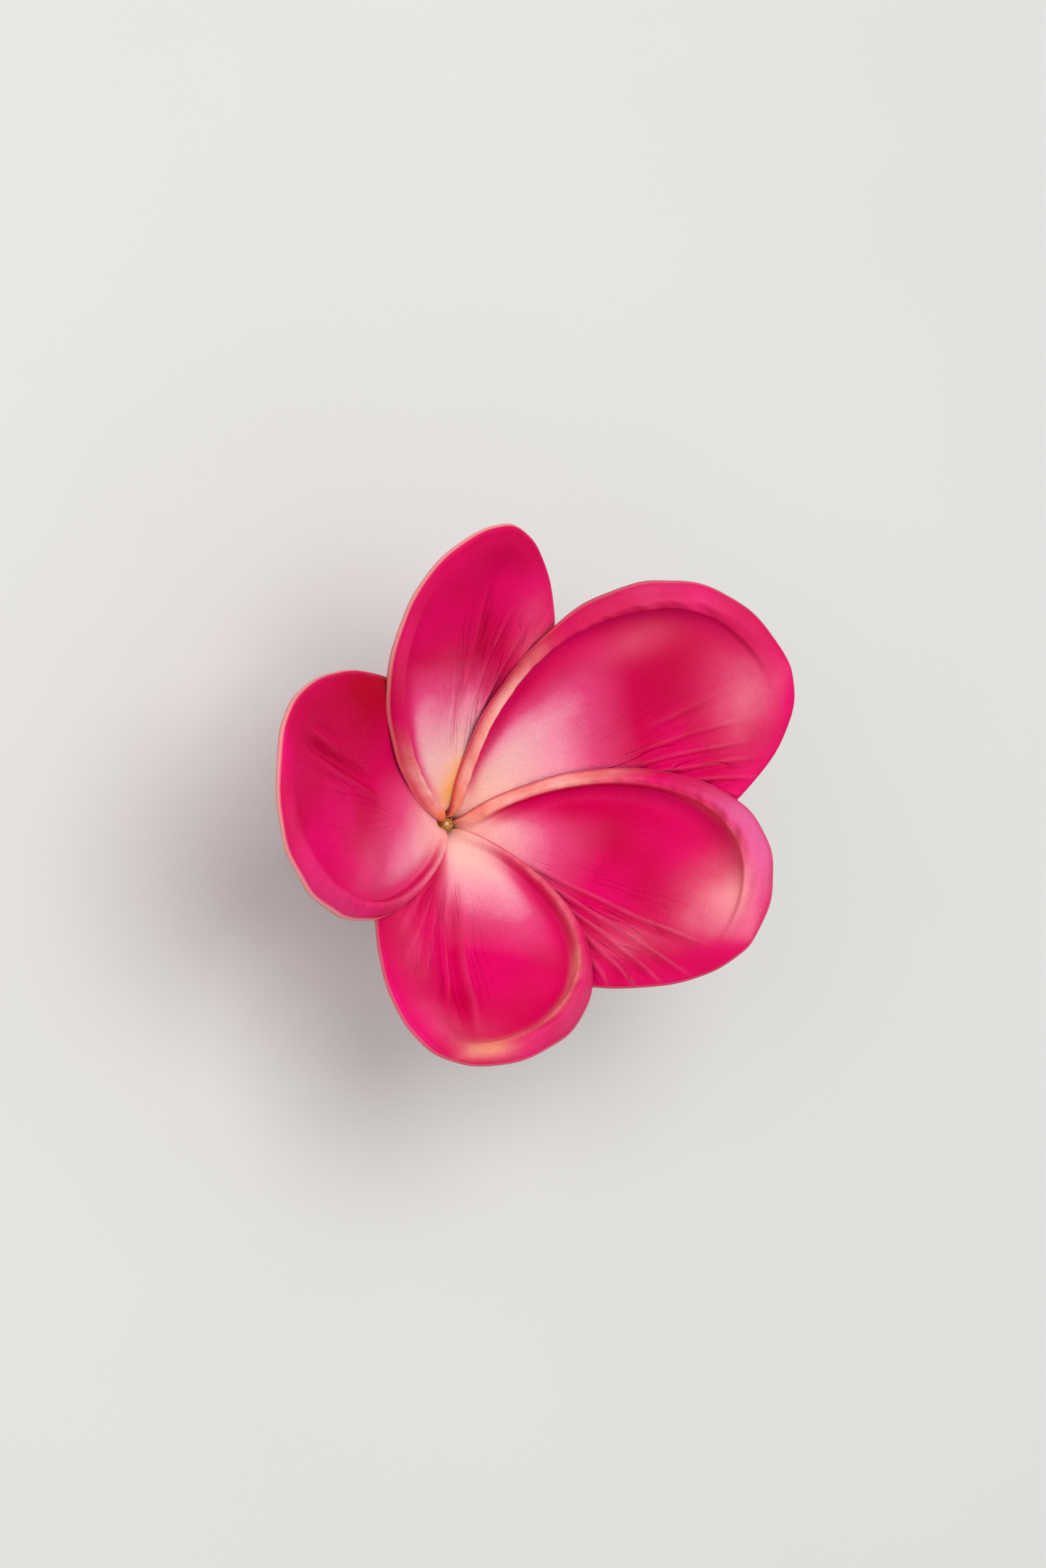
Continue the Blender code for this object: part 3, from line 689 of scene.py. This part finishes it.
# sprays and dyes, with painted highlights, painted reflection and painted shade, each laid over the ones
# before it
for share, over in (
        # painted highlight: lighter pink patches on the faces, lip crowns and fold ridges
        (sprayed(highlight_and_touch["Red"], 0.2, 0.5), (0.86, 0.25, 0.33)),
        # painted shade: dark crimson patches where neighbouring petals shade the faces
        (sprayed(shade_and_wash["Red"], 0.2, 0.4), (0.46, 0.0, 0.022)),
        (remap(tree, light_spray, 0.0, 0.55, smooth=False), (0.85, 0.15, 0.36)),
        (remap(tree, light_spray, 0.25, 1.0, smooth=False), (0.88, 0.585, 0.565)),
        (sprayed(spray_and_shade["Green"], 0.2, 0.5), (0.92, 0.54, 0.38)),
        (times(tree, shade_and_wash["Blue"], 0.65), (1.0, 0.72, 0.58)),
        (sprayed(shade_and_wash["Green"], 0.2, 0.4), (0.93, 0.56, 0.16)),
        (sprayed(tint_and_painted_light["Red"], 0.2, 0.4), coral),
        # painted reflection: bluish lilac on the lip's rolled outer face
        (sprayed(tint_and_painted_light["Green"], 0.3, 0.4), (0.78, 0.13, 0.36)),
        # the dark crease line inside the lip: partly airbrushed, partly painted shade
        (times(tree, sprayed(spray_and_shade["Blue"], 0.2, 0.4), 0.95), (0.61, 0.0, 0.105)),
        # painted shade in the grooves of the pressed folds
        (times(tree, tint_and_painted_light["Blue"], 0.35), (0.60, 0.0, 0.08)),
        # painted shade in the vein grooves
        (times(tree, veins, 0.16), (0.60, 0.0, 0.08)),
        (highlight_and_touch["Green"], (0.93, 0.27, 0.08)),
        (times(tree, highlight_and_touch["Blue"], 0.7), (0.93, 0.50, 0.42))):
    colour = mix_colours(tree, share, colour, over)
speckle = remap(tree, droplets, 0.3, 0.7, 0.93, 1.06, smooth=False)
colour = add_node(
    tree, "ShaderNodeHueSaturation", {"Value": speckle, "Color": colour}).outputs["Color"]
tree.links.new(remap(tree, mottle, 0.3, 0.7, 0.40, 0.56), shader.inputs["Roughness"])
dress(tree, shader, colour, [
    (vein_height, 0.9, 0.00024),
    (fine_height, 0.45, 0.00007),
    (grain(tree, place, 0.0010, detail=4.0, roughness=0.6, distortion=0.8), 0.60, 0.00015),
    (grain(tree, place, 0.00028, detail=3.0, roughness=0.6), 0.70, 0.00008)])

for number, petal_name in enumerate(PETALS):
    shape_petal(petal_name, number)


# ---- The throat peg and its glitter ----
# A glossy amber plastic stub, pushed up between the petals' roots until its collar fills the
# throat. A pinch of fine glitter is caught in the glue round its tip.
def turned(profile, segments, centre, axis="Z"):
    """A closed turned shape from (radius, height) points in millimetres, bottom to top."""
    bm = bmesh.new()
    verts = [bm.verts.new((radius * MM, 0.0, height * MM)) for radius, height in profile]
    for first, second in zip(verts, verts[1:]):
        bm.edges.new((first, second))
    bmesh.ops.spin(
        bm, geom=bm.verts[:] + bm.edges[:], cent=(0.0, 0.0, 0.0), axis=(0.0, 0.0, 1.0),
        angle=2.0 * math.pi, steps=segments, use_merge=True)
    bmesh.ops.remove_doubles(bm, verts=bm.verts[:], dist=1e-7)
    bmesh.ops.recalc_face_normals(bm, faces=bm.faces[:])
    if axis == "Y":
        bmesh.ops.rotate(bm, verts=bm.verts[:], matrix=Matrix.Rotation(-0.5 * math.pi, 3, "X"))
    bmesh.ops.translate(bm, verts=bm.verts[:], vec=centre)
    return mesh_from(bm, "turned")


def rounded(corners, foot=0.0, cuts=3):
    """A (radius, height over foot) profile, its inner corners cut off again and again, so it's soft."""
    points = [np.array((radius, foot + height)) for radius, height in corners]
    for _ in range(cuts):
        softer = [points[0]]
        for first, second in zip(points, points[1:]):
            softer += [0.75 * first + 0.25 * second, 0.25 * first + 0.75 * second]
        points = softer + [points[-1]]
    return [tuple(point) for point in points]


PEG_FOOT = -8.7
peg_profile = rounded([
    (0.0, 0.0), (1.55, 0.0), (1.6, 0.6), (0.55, 0.9), (0.47, 1.6), (0.47, 4.3), (1.45, 5.3),
    (1.40, 6.5), (1.10, 7.3), (0.80, 8.0), (0.0, 8.2)], PEG_FOOT)
amber, tree, shader, place = start_finish(
    "amber_plastic", 0.12, Coat_Weight=0.6, Coat_Roughness=0.05, Transmission_Weight=0.25)
swirl = grain(tree, place, 0.0007, detail=3.0, distortion=1.2)
amber_colour = mix_colours(tree, swirl, (0.38, 0.13, 0.01), (0.76, 0.42, 0.06))
dress(tree, shader, amber_colour, [(swirl, 0.4, 0.00005)])
put("amber_peg", turned(peg_profile, 32, throat), amber, "flower_and_upper_jaw", "throat_peg",
    finish_slot="amber_plastic")

GLITTER_COUNT = 26
chance = np.random.default_rng(7)
bm = bmesh.new()
for _ in range(GLITTER_COUNT):
    turn = chance.uniform(0.0, 2.0 * math.pi)
    out = chance.uniform(0.4, 1.2)
    spot = throat + MM * Vector((
        out * math.cos(turn), out * math.sin(turn), chance.uniform(-1.6, -0.5) + 0.2 * out))
    bmesh.ops.create_icosphere(
        bm, subdivisions=1, radius=chance.uniform(0.05, 0.11) * MM,
        matrix=Matrix.Translation(spot) @ Matrix.Rotation(chance.uniform(0.0, 6.0), 4, (1, 2, 3)))
glitter_finish, tree, shader, place = start_finish("silver_glitter", 0.15, Metallic=1.0)
glitter_colour = mix_colours(tree, grain(tree, place, 0.0002), (0.95, 0.80, 0.55), (0.9, 0.9, 0.95))
tree.links.new(glitter_colour, shader.inputs["Base Color"])
put("throat_glitter", mesh_from(bm, "glitter"), glitter_finish, "flower_and_upper_jaw")


# ---- The cup ----
# A small moulded foam cup, fluted outside, that the petals' roots are pushed and glued into,
# with a bead of hot-melt glue squeezed up round the petals above its rim.
CUP_BOTTOM = -10.2
CUP_TOP = CUP_BOTTOM + 8.4
cup_profile = rounded([
    (0.0, 0.0), (4.6, 0.0), (5.2, 0.1), (5.35, 0.9), (5.55, 3.0), (5.95, 6.6), (6.35, 8.0),
    (6.2, 8.5), (5.5, 8.4), (5.3, 7.8), (4.9, 4.0), (4.4, 1.5), (0.0, 1.25)], CUP_BOTTOM)
cup_mesh = turned(cup_profile, 160, throat)


def reshape(mesh, centre, change):
    """Moves a turned mesh's points: change takes radius, turn and height in millimetres."""
    points = np.zeros(len(mesh.vertices) * 3)
    mesh.vertices.foreach_get("co", points)
    points = (points.reshape(-1, 3) - np.array(centre)) / MM
    radius, turn, height = change(
        np.hypot(points[:, 0], points[:, 1]), np.arctan2(points[:, 1], points[:, 0]), points[:, 2])
    moved = np.stack([radius * np.cos(turn), radius * np.sin(turn), height], axis=-1)
    mesh.vertices.foreach_set("co", (moved * MM + np.array(centre)).ravel())


def flute(radius, turn, height):
    outer = smooth_step(radius, 5.0, 5.3)
    tall = smooth_step(height, CUP_BOTTOM + 0.3, CUP_BOTTOM + 1.8)
    tall *= 1.0 - smooth_step(height, CUP_TOP - 1.6, CUP_TOP - 0.4)
    dents = 0.07 * np.sin(3.0 * turn + height) + 0.05 * np.sin(7.0 * turn - 1.3 * height)
    return radius + outer * (0.13 * tall * np.cos(20.0 * turn) + dents), turn, height


reshape(cup_mesh, throat, flute)
cup_finish, tree, shader, place = start_finish("cup_foam", 0.62, Specular_IOR_Level=0.2)
cup_colour = mix_colours(
    tree, grain(tree, place, 0.0025, detail=4.0), (0.78, 0.10, 0.20), (0.88, 0.30, 0.34))
scuffs = remap(tree, grain(tree, place, 0.0009, detail=4.0), 0.58, 0.72, 0.0, 0.5)
cup_colour = mix_colours(tree, scuffs, cup_colour, (0.92, 0.52, 0.48))
dress(tree, shader, cup_colour, [
    (grain(tree, place, 0.0010, detail=3.0), 0.4, 0.00012),
    (grain(tree, place, 0.00022, detail=2.0), 0.4, 0.00004)])
cup = put("moulded_cup", cup_mesh, cup_finish, "flower_and_upper_jaw", "flower_cup",
          finish_slot="cup_foam")


# ---- The glue and the felt disc ----
# Clear hot-melt glue, set milky: a bead round the petals at the cup's rim, and a flattened blob
# that climbs round the cup's foot. It sits on a die-cut disc of pressed felt, with its loose
# fibres standing up, that covers the steel.
glue_finish, tree, shader, place = start_finish(
    "hot_melt_glue", 0.16, Transmission_Weight=0.30, Coat_Weight=0.4, Coat_Roughness=0.08)
haze = grain(tree, place, 0.0030, detail=3.0, distortion=0.5)
glue_colour = mix_colours(tree, haze, (0.66, 0.60, 0.48), (0.84, 0.81, 0.72))
bubbles = add_node(tree, "ShaderNodeTexVoronoi", {"Vector": place, "Scale": 900.0}).outputs["Distance"]
bubble = remap(tree, bubbles, 0.10, 0.22, 1.0, 0.0)
glue_colour = mix_colours(tree, times(tree, bubble, 0.35), glue_colour, (0.95, 0.94, 0.9))
dress(tree, shader, glue_colour, [(haze, 0.5, 0.0003), (grain(tree, place, 0.0007), 0.25, 0.00008)])

GLUE_FOOT = -11.7
blob_profile = rounded([
    (0.0, 0.0), (7.9, 0.0), (8.5, 0.2), (8.2, 0.9), (7.0, 1.3), (6.0, 1.5), (5.55, 2.3),
    (5.35, 2.9), (5.1, 2.2), (4.9, 1.2), (0.0, 1.2)], GLUE_FOOT)
blob_mesh = turned(blob_profile, 120, throat)


def lobe(radius, turn, height):
    spread = smooth_step(radius, 5.6, 8.4)
    run = 0.40 * np.sin(2.0 * turn + 0.6) + 0.30 * np.sin(5.0 * turn) + 0.16 * np.sin(9.0 * turn + 2.0)
    climb = 0.35 * np.sin(3.0 * turn + 1.0) + 0.25 * np.sin(7.0 * turn + 2.5)
    risen = smooth_step(height, GLUE_FOOT + 1.4, GLUE_FOOT + 2.6)
    return radius + spread * (run - 0.3), turn, height + risen * climb


reshape(blob_mesh, throat, lobe)
put("glue_blob", blob_mesh, glue_finish, "flower_and_upper_jaw", "glue_pad", finish_slot="hot_glue")

bead_profile = rounded([
    (4.2, 0.2), (5.7, -0.1), (6.2, 0.3), (6.0, 1.2), (5.4, 2.1), (4.6, 2.4), (3.9, 1.6), (4.2, 0.2)],
    CUP_TOP)
bead_mesh = turned(bead_profile, 120, throat)


def squeeze(radius, turn, height):
    lump = 0.25 * np.sin(4.0 * turn + 0.4) + 0.2 * np.sin(7.0 * turn + 2.0) + 0.1 * np.sin(13.0 * turn)
    return radius + smooth_step(radius, 5.0, 6.0) * lump, turn, height + 0.5 * lump


reshape(bead_mesh, throat, squeeze)
put("glue_bead", bead_mesh, glue_finish, "flower_and_upper_jaw", finish_slot="hot_glue")

FELT_FOOT = -13.75
FELT_RADIUS = 12.0
FELT_THICKNESS = 1.5
flat = list(np.linspace(0.6, 11.4, 20))
felt_profile = [(radius, FELT_FOOT) for radius in [0.0] + flat]
felt_profile += [
    (FELT_RADIUS + out, FELT_FOOT + height)
    for out, height in ((-0.15, 0.1), (0.05, 0.4), (0.08, 0.75), (0.05, 1.1), (-0.15, 1.4))]
felt_profile += [(radius, FELT_FOOT + FELT_THICKNESS) for radius in flat[::-1] + [0.0]]
felt_mesh = turned(felt_profile, 200, throat)


def felted(radius, turn, height):
    x = radius * np.cos(turn)
    y = radius * np.sin(turn)
    matted = np.sin(2.1 * x + 1.3 * np.sin(1.7 * y)) * np.sin(2.3 * y + 1.1 * np.sin(1.9 * x))
    ragged = 0.06 * np.sin(31.0 * turn) + 0.05 * np.sin(53.0 * turn + 1.0) + 0.08 * np.sin(5.0 * turn)
    edge = smooth_step(radius, 11.0, 12.0)
    upper = smooth_step(height, FELT_FOOT + 0.8, FELT_FOOT + 1.4)
    return radius + edge * ragged, turn, height + 0.05 * matted * upper


reshape(felt_mesh, throat, felted)
felt_finish, tree, shader, place = start_finish(
    "pressed_felt", 0.95, Sheen_Weight=0.6, Sheen_Roughness=0.5, Specular_IOR_Level=0.1)
matting = grain(tree, place, 0.0009, detail=6.0, roughness=0.7, distortion=1.5)
strands = grain(tree, place, 0.00035, detail=4.0, roughness=0.7, distortion=3.0)
felt_colour = mix_colours(tree, remap(tree, matting, 0.3, 0.7), (0.66, 0.62, 0.56), (0.83, 0.80, 0.75))
felt_colour = mix_colours(
    tree, remap(tree, strands, 0.45, 0.7, 0.0, 0.4), felt_colour, (0.90, 0.88, 0.84))
dress(tree, shader, felt_colour, [(matting, 0.8, 0.00025), (strands, 0.7, 0.00012)])
felt = put("felt_pad", felt_mesh, felt_finish, "flower_and_upper_jaw", "felt_disc",
           finish_slot="felt")


def swept(path, radius, sides):
    """A closed round tube along a path of points, in metres, as (points, faces)."""
    path = np.asarray(path)
    heading = np.gradient(path, axis=0)
    heading /= np.linalg.norm(heading, axis=1, keepdims=True)
    side = np.cross(heading[0], (0.31, 0.87, 0.38))
    rings = []
    for point, ahead in zip(path, heading):
        side = side - ahead * np.dot(side, ahead)
        side /= np.linalg.norm(side)
        other = np.cross(ahead, side)
        turns = np.arange(sides) * 2.0 * math.pi / sides
        rings.append(point + radius * (
            np.cos(turns)[:, None] * side + np.sin(turns)[:, None] * other))
    faces = [tuple(range(sides))[::-1]]
    for ring in range(len(path) - 1):
        for corner in range(sides):
            following = (corner + 1) % sides
            faces.append((
                ring * sides + corner, ring * sides + following,
                (ring + 1) * sides + following, (ring + 1) * sides + corner))
    faces.append(tuple((len(path) - 1) * sides + corner for corner in range(sides)))
    return np.concatenate(rings), faces


def mesh_of(shells):
    """One mesh from several closed (points, faces) shells."""
    points = []
    faces = []
    for shell_points, shell_faces in shells:
        start = len(points)
        points += [tuple(point) for point in shell_points]
        faces += [tuple(start + corner for corner in face) for face in shell_faces]
    mesh = bpy.data.meshes.new("shells")
    mesh.from_pydata(points, [], faces)
    return mesh


FIBRE_COUNT = 900
EDGE_FIBRES = 620
FIBRE_RADIUS = 0.016
fibres = []
for number in range(FIBRE_COUNT):
    turn = chance.uniform(0.0, 2.0 * math.pi)
    at_edge = number < EDGE_FIBRES
    radius = FELT_RADIUS - 0.1 if at_edge else chance.uniform(8.8, 11.8)
    height = FELT_FOOT + (chance.uniform(0.15, 1.4) if at_edge else 1.45)
    away = np.array([math.cos(turn), math.sin(turn), 0.0])
    start = np.array(throat) + MM * (radius * away + np.array([0.0, 0.0, height]))
    lean = chance.normal(size=3) * 0.8
    ahead = (away if at_edge else np.array([0.0, 0.0, 1.0])) + lean * np.array([1.0, 1.0, 0.5])
    if not at_edge:
        ahead[2] = abs(ahead[2])
    ahead /= np.linalg.norm(ahead)
    curl = chance.normal(size=3) * 0.5
    length = chance.uniform(0.25, 0.8) * (1.0 if at_edge else 0.6)
    steps = np.linspace(0.0, 1.0, 5)[:, None]
    path = start + MM * length * (steps * ahead + steps ** 2 * curl)
    fibres.append(swept(path, FIBRE_RADIUS * MM, 3))
put("felt_fibres", mesh_of(fibres), felt_finish, "flower_and_upper_jaw", finish_slot="felt")


# ---- The two jaws ----
# Pressed from bright nickel-plated strip: grip ribs across the upper jaw's thumb lever, two ears
# folded from each jaw for the rivet, and toothed rails along the edges of the lower one.
nickel, tree, shader, place = start_finish("nickel_plate", 0.22, Metallic=1.0)
squashed = add_node(tree, "ShaderNodeMapping", {"Vector": place, "Scale": (1.0, 14.0, 1.0)})
drawn = grain(tree, squashed.outputs["Vector"], 0.0016, detail=5.0, roughness=0.7)
smudge = grain(tree, place, 0.005, detail=3.0)
nickel_colour = mix_colours(tree, smudge, (0.62, 0.60, 0.56), (0.74, 0.72, 0.69))
pits = remap(tree, grain(tree, place, 0.0004, detail=2.0), 0.66, 0.74, 0.0, 0.5)
nickel_colour = mix_colours(tree, pits, nickel_colour, (0.38, 0.36, 0.33))
dull = maths(tree, "ADD", remap(tree, smudge, 0.3, 0.7, 0.14, 0.30), times(tree, pits, 0.4))
tree.links.new(dull, shader.inputs["Roughness"])
dress(tree, shader, nickel_colour, [(drawn, 0.25, 0.00003), (grain(tree, place, 0.002), 0.2, 0.0001)])

SHEET = 0.8
PLATE_THICKNESS = 0.7
HINGE = (16.0, 0.0, 3.4)
LEVER_TILT = math.radians(38.0)
STRIP_STEP = 0.22


def pressed_strip(stations, grips=()):
    """A folded strip, in millimetres: (x, z, half width) stations of its upper face."""
    stations = np.array(stations)
    length = np.append(0.0, np.cumsum(np.hypot(*np.diff(stations[:, :2], axis=0).T)))
    count = int(length[-1] / STRIP_STEP)
    along = np.linspace(0.0, length[-1], count)
    x, z, half = (np.interp(along, length, column) for column in stations.T)
    for _ in range(6):
        for line in (x, z, half):
            line[1:-1] = 0.25 * line[:-2] + 0.5 * line[1:-1] + 0.25 * line[2:]
    round_end = np.minimum(along, length[-1] - along)
    half = half * np.sqrt(np.clip(round_end / 1.2 + 0.12, 0.0, 1.0))
    tilt = np.arctan2(np.gradient(z), np.gradient(x))
    lanes = np.linspace(-1.0, 1.0, 25)
    raised = np.zeros((count, len(lanes)))
    for grip in grips:
        raised += 0.28 * hump(x, grip, 0.35)[:, None] * (1.0 - smooth_step(np.abs(lanes), 0.6, 0.8))
    faces = []
    shells = []
    for drop in (0.0, SHEET):
        off = raised - drop
        shells.append(np.stack([
            x[:, None] - np.sin(tilt)[:, None] * off, half[:, None] * lanes,
            z[:, None] + np.cos(tilt)[:, None] * off], axis=-1).reshape(-1, 3))
    wide = len(lanes)
    under = count * wide
    for row in range(count - 1):
        for lane in range(wide - 1):
            corners = (row * wide + lane, (row + 1) * wide + lane,
                       (row + 1) * wide + lane + 1, row * wide + lane + 1)
            faces.append(corners)
            faces.append(tuple(under + corner for corner in corners[::-1]))
    rim = [row * wide for row in range(count)]
    rim += [(count - 1) * wide + lane for lane in range(1, wide)]
    rim += [row * wide + wide - 1 for row in range(count - 2, -1, -1)]
    rim += [lane for lane in range(wide - 2, 0, -1)]
    for first, second in zip(rim, rim[1:] + rim[:1]):
        faces.append((second, first, under + first, under + second))
    return np.concatenate(shells) * MM, faces


def plate_faces(count, closed):
    """Quads of a plate whose near inner, near outer, far inner and far outer lines have count points."""
    faces = []
    for number in range(count if closed else count - 1):
        following = (number + 1) % count
        for low, high in ((0, 1), (1, 3), (3, 2), (2, 0)):
            faces.append((
                low * count + number, low * count + following,
                high * count + following, high * count + number))
    return faces


def ear(side_y, radius, top_z, hole=1.1, count=56):
    """An ear plate with a round end about the rivet and straight sides up or down to its strip."""
    points = []
    for y in (side_y - 0.5 * PLATE_THICKNESS, side_y + 0.5 * PLATE_THICKNESS):
        for inner in (True, False):
            for number in range(count):
                turn = 2.0 * math.pi * number / count
                across, up = math.cos(turn), math.sin(turn)
                reach = hole if inner else radius
                if not inner and up * (top_z - HINGE[2]) > 0.0:
                    to_top = abs(top_z - HINGE[2]) / abs(up)
                    reach = min(to_top, radius / max(abs(across), 1e-6))
                points.append((HINGE[0] + reach * across, y, HINGE[2] + reach * up))
    return np.array(points) * MM, plate_faces(count, closed=True)


def toothed_rail(side_y, first_x=-8.5, pitch=2.2, teeth=9, low_z=0.7, high_z=1.4):
    """A low wall with a saw-toothed top."""
    outline = [(first_x - 0.3, low_z)]
    for number in range(teeth):
        tooth_x = first_x + pitch * number
        outline += [(tooth_x, low_z + 0.25), (tooth_x + 0.42 * pitch, high_z),
                    (tooth_x + 0.58 * pitch, high_z)]
    outline += [(first_x + pitch * teeth, low_z + 0.25), (first_x + pitch * teeth + 0.3, low_z)]
    points = []
    for y in (side_y - 0.5 * PLATE_THICKNESS, side_y + 0.5 * PLATE_THICKNESS):
        points += [(x, y, z) for x, z in outline]
        points += [(x, y, low_z - 0.2) for x, _ in outline]
    size = len(outline)
    ends = [(0, size, 3 * size, 2 * size), (size - 1, 3 * size - 1, 4 * size - 1, 2 * size - 1)]
    return np.array(points) * MM, plate_faces(size, closed=False) + ends


def steel_piece(name, shells, body, node, bevel):
    bm = bmesh.new()
    bm.from_mesh(mesh_of(shells))
    bmesh.ops.recalc_face_normals(bm, faces=bm.faces[:])
    piece = put(name, mesh_from(bm, name), nickel, body, node, finish_slot="nickel_steel")
    rounding = piece.modifiers.new("rounded_edges", "BEVEL")
    rounding.width = bevel * MM
    rounding.segments = 2
    rounding.limit_method = "ANGLE"
    rounding.angle_limit = math.radians(40.0)
    rounding.harden_normals = False


upper_top = 6.5
lever_end = upper_top + 10.5 * math.tan(LEVER_TILT)
upper_stations = [
    (-16.0, 1.2, 2.9), (-15.9, 3.4, 3.0), (-15.4, 5.2, 3.2), (-14.2, 6.2, 3.5), (-12.4, upper_top, 4.0),
    (-9.0, upper_top, 4.5), (18.0, upper_top, 4.5), (26.9, lever_end - 1.2, 4.5),
    (28.4, lever_end - 0.1, 4.1)]
steel_piece("pressed_upper_jaw", [
    pressed_strip(upper_stations, grips=(22.4, 23.8, 25.2)),
    ear(-4.19, 2.2, 6.42), ear(4.19, 2.2, 6.42)], "flower_and_upper_jaw", "upper_jaw", 0.14)
lower_stations = [
    (-16.6, 0.8, 2.9), (-15.0, 0.8, 3.4), (-9.0, 0.8, 4.5), (26.5, 0.8, 4.5), (28.1, 0.8, 4.1)]
steel_piece("pressed_lower_jaw", [
    pressed_strip(lower_stations), ear(-3.15, 2.0, 0.4), ear(3.15, 2.0, 0.4),
    toothed_rail(-4.0), toothed_rail(4.0)], "lower_clip", "lower_jaw", 0.12)


# ---- The rivet and the spring ----
# A nickel-plated rivet, its heads domed by the press, runs through all four ears. The spring is
# hard-drawn wire coiled round it, one leg under the thumb lever and one on the lower strip.
RIVET_HALF = 4.8
rivet_head = [
    (0.8, RIVET_HALF - 0.02), (1.5, RIVET_HALF), (1.35, RIVET_HALF + 0.28),
    (0.7, RIVET_HALF + 0.50), (0.0, RIVET_HALF + 0.52)]
rivet_profile = rounded(
    [(radius, -height) for radius, height in rivet_head[::-1]] + [(0.8, 0.0)] + rivet_head, cuts=2)
hinge_place = Vector(HINGE) * MM
put("domed_rivet", turned(rivet_profile, 40, hinge_place, axis="Y"), nickel, "lower_clip",
    "hinge_pin", finish_slot="nickel_steel")

WIRE = 0.3
COIL = 1.7
coil_span = 1.88
upper_leg = (2.0 + 9.5 * math.cos(LEVER_TILT) + SHEET * math.sin(LEVER_TILT),
             2.3 + 9.5 * math.sin(LEVER_TILT) - SHEET * math.cos(LEVER_TILT))
lower_leg = (9.5, -1.8)


def leaves_coil(leg, side):
    """Angle on the coil where a straight leg to a point leaves it."""
    return math.atan2(leg[1], leg[0]) + side * math.acos(COIL / math.hypot(*leg))


coil_start = leaves_coil(upper_leg, -1.0)
coil_stop = leaves_coil(lower_leg, 1.0)
coil_sweep = (coil_start - coil_stop) % (2.0 * math.pi) + 6.0 * math.pi
wire_path = [np.array([upper_leg[0], -coil_span, upper_leg[1]])]
first_turn = np.array([COIL * math.cos(coil_start), -coil_span, COIL * math.sin(coil_start)])
wire_path += [wire_path[0] + (first_turn - wire_path[0]) * share for share in (0.3, 0.6, 0.85)]
for share in np.linspace(0.0, 1.0, 160):
    turn = coil_start - coil_sweep * share
    wire_path.append(np.array([
        COIL * math.cos(turn), coil_span * (2.0 * share - 1.0), COIL * math.sin(turn)]))
last = np.array([lower_leg[0], coil_span, lower_leg[1]])
wire_path += [wire_path[-1] + (last - wire_path[-1]) * share for share in (0.15, 0.4, 0.7, 1.0)]
spring_finish, tree, shader, place = start_finish("spring_wire", 0.32, Metallic=1.0)
drawing = grain(tree, place, 0.0005, detail=4.0)
wire_colour = mix_colours(tree, drawing, (0.42, 0.41, 0.39), (0.62, 0.60, 0.57))
dress(tree, shader, wire_colour, [(drawing, 0.3, 0.00003)])
wire_mesh = mesh_of([swept(np.array(wire_path) * MM + np.array(hinge_place), WIRE * MM, 12)])
spring = finished("coiled_spring", wire_mesh, spring_finish)
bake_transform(spring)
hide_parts("torsion_spring")
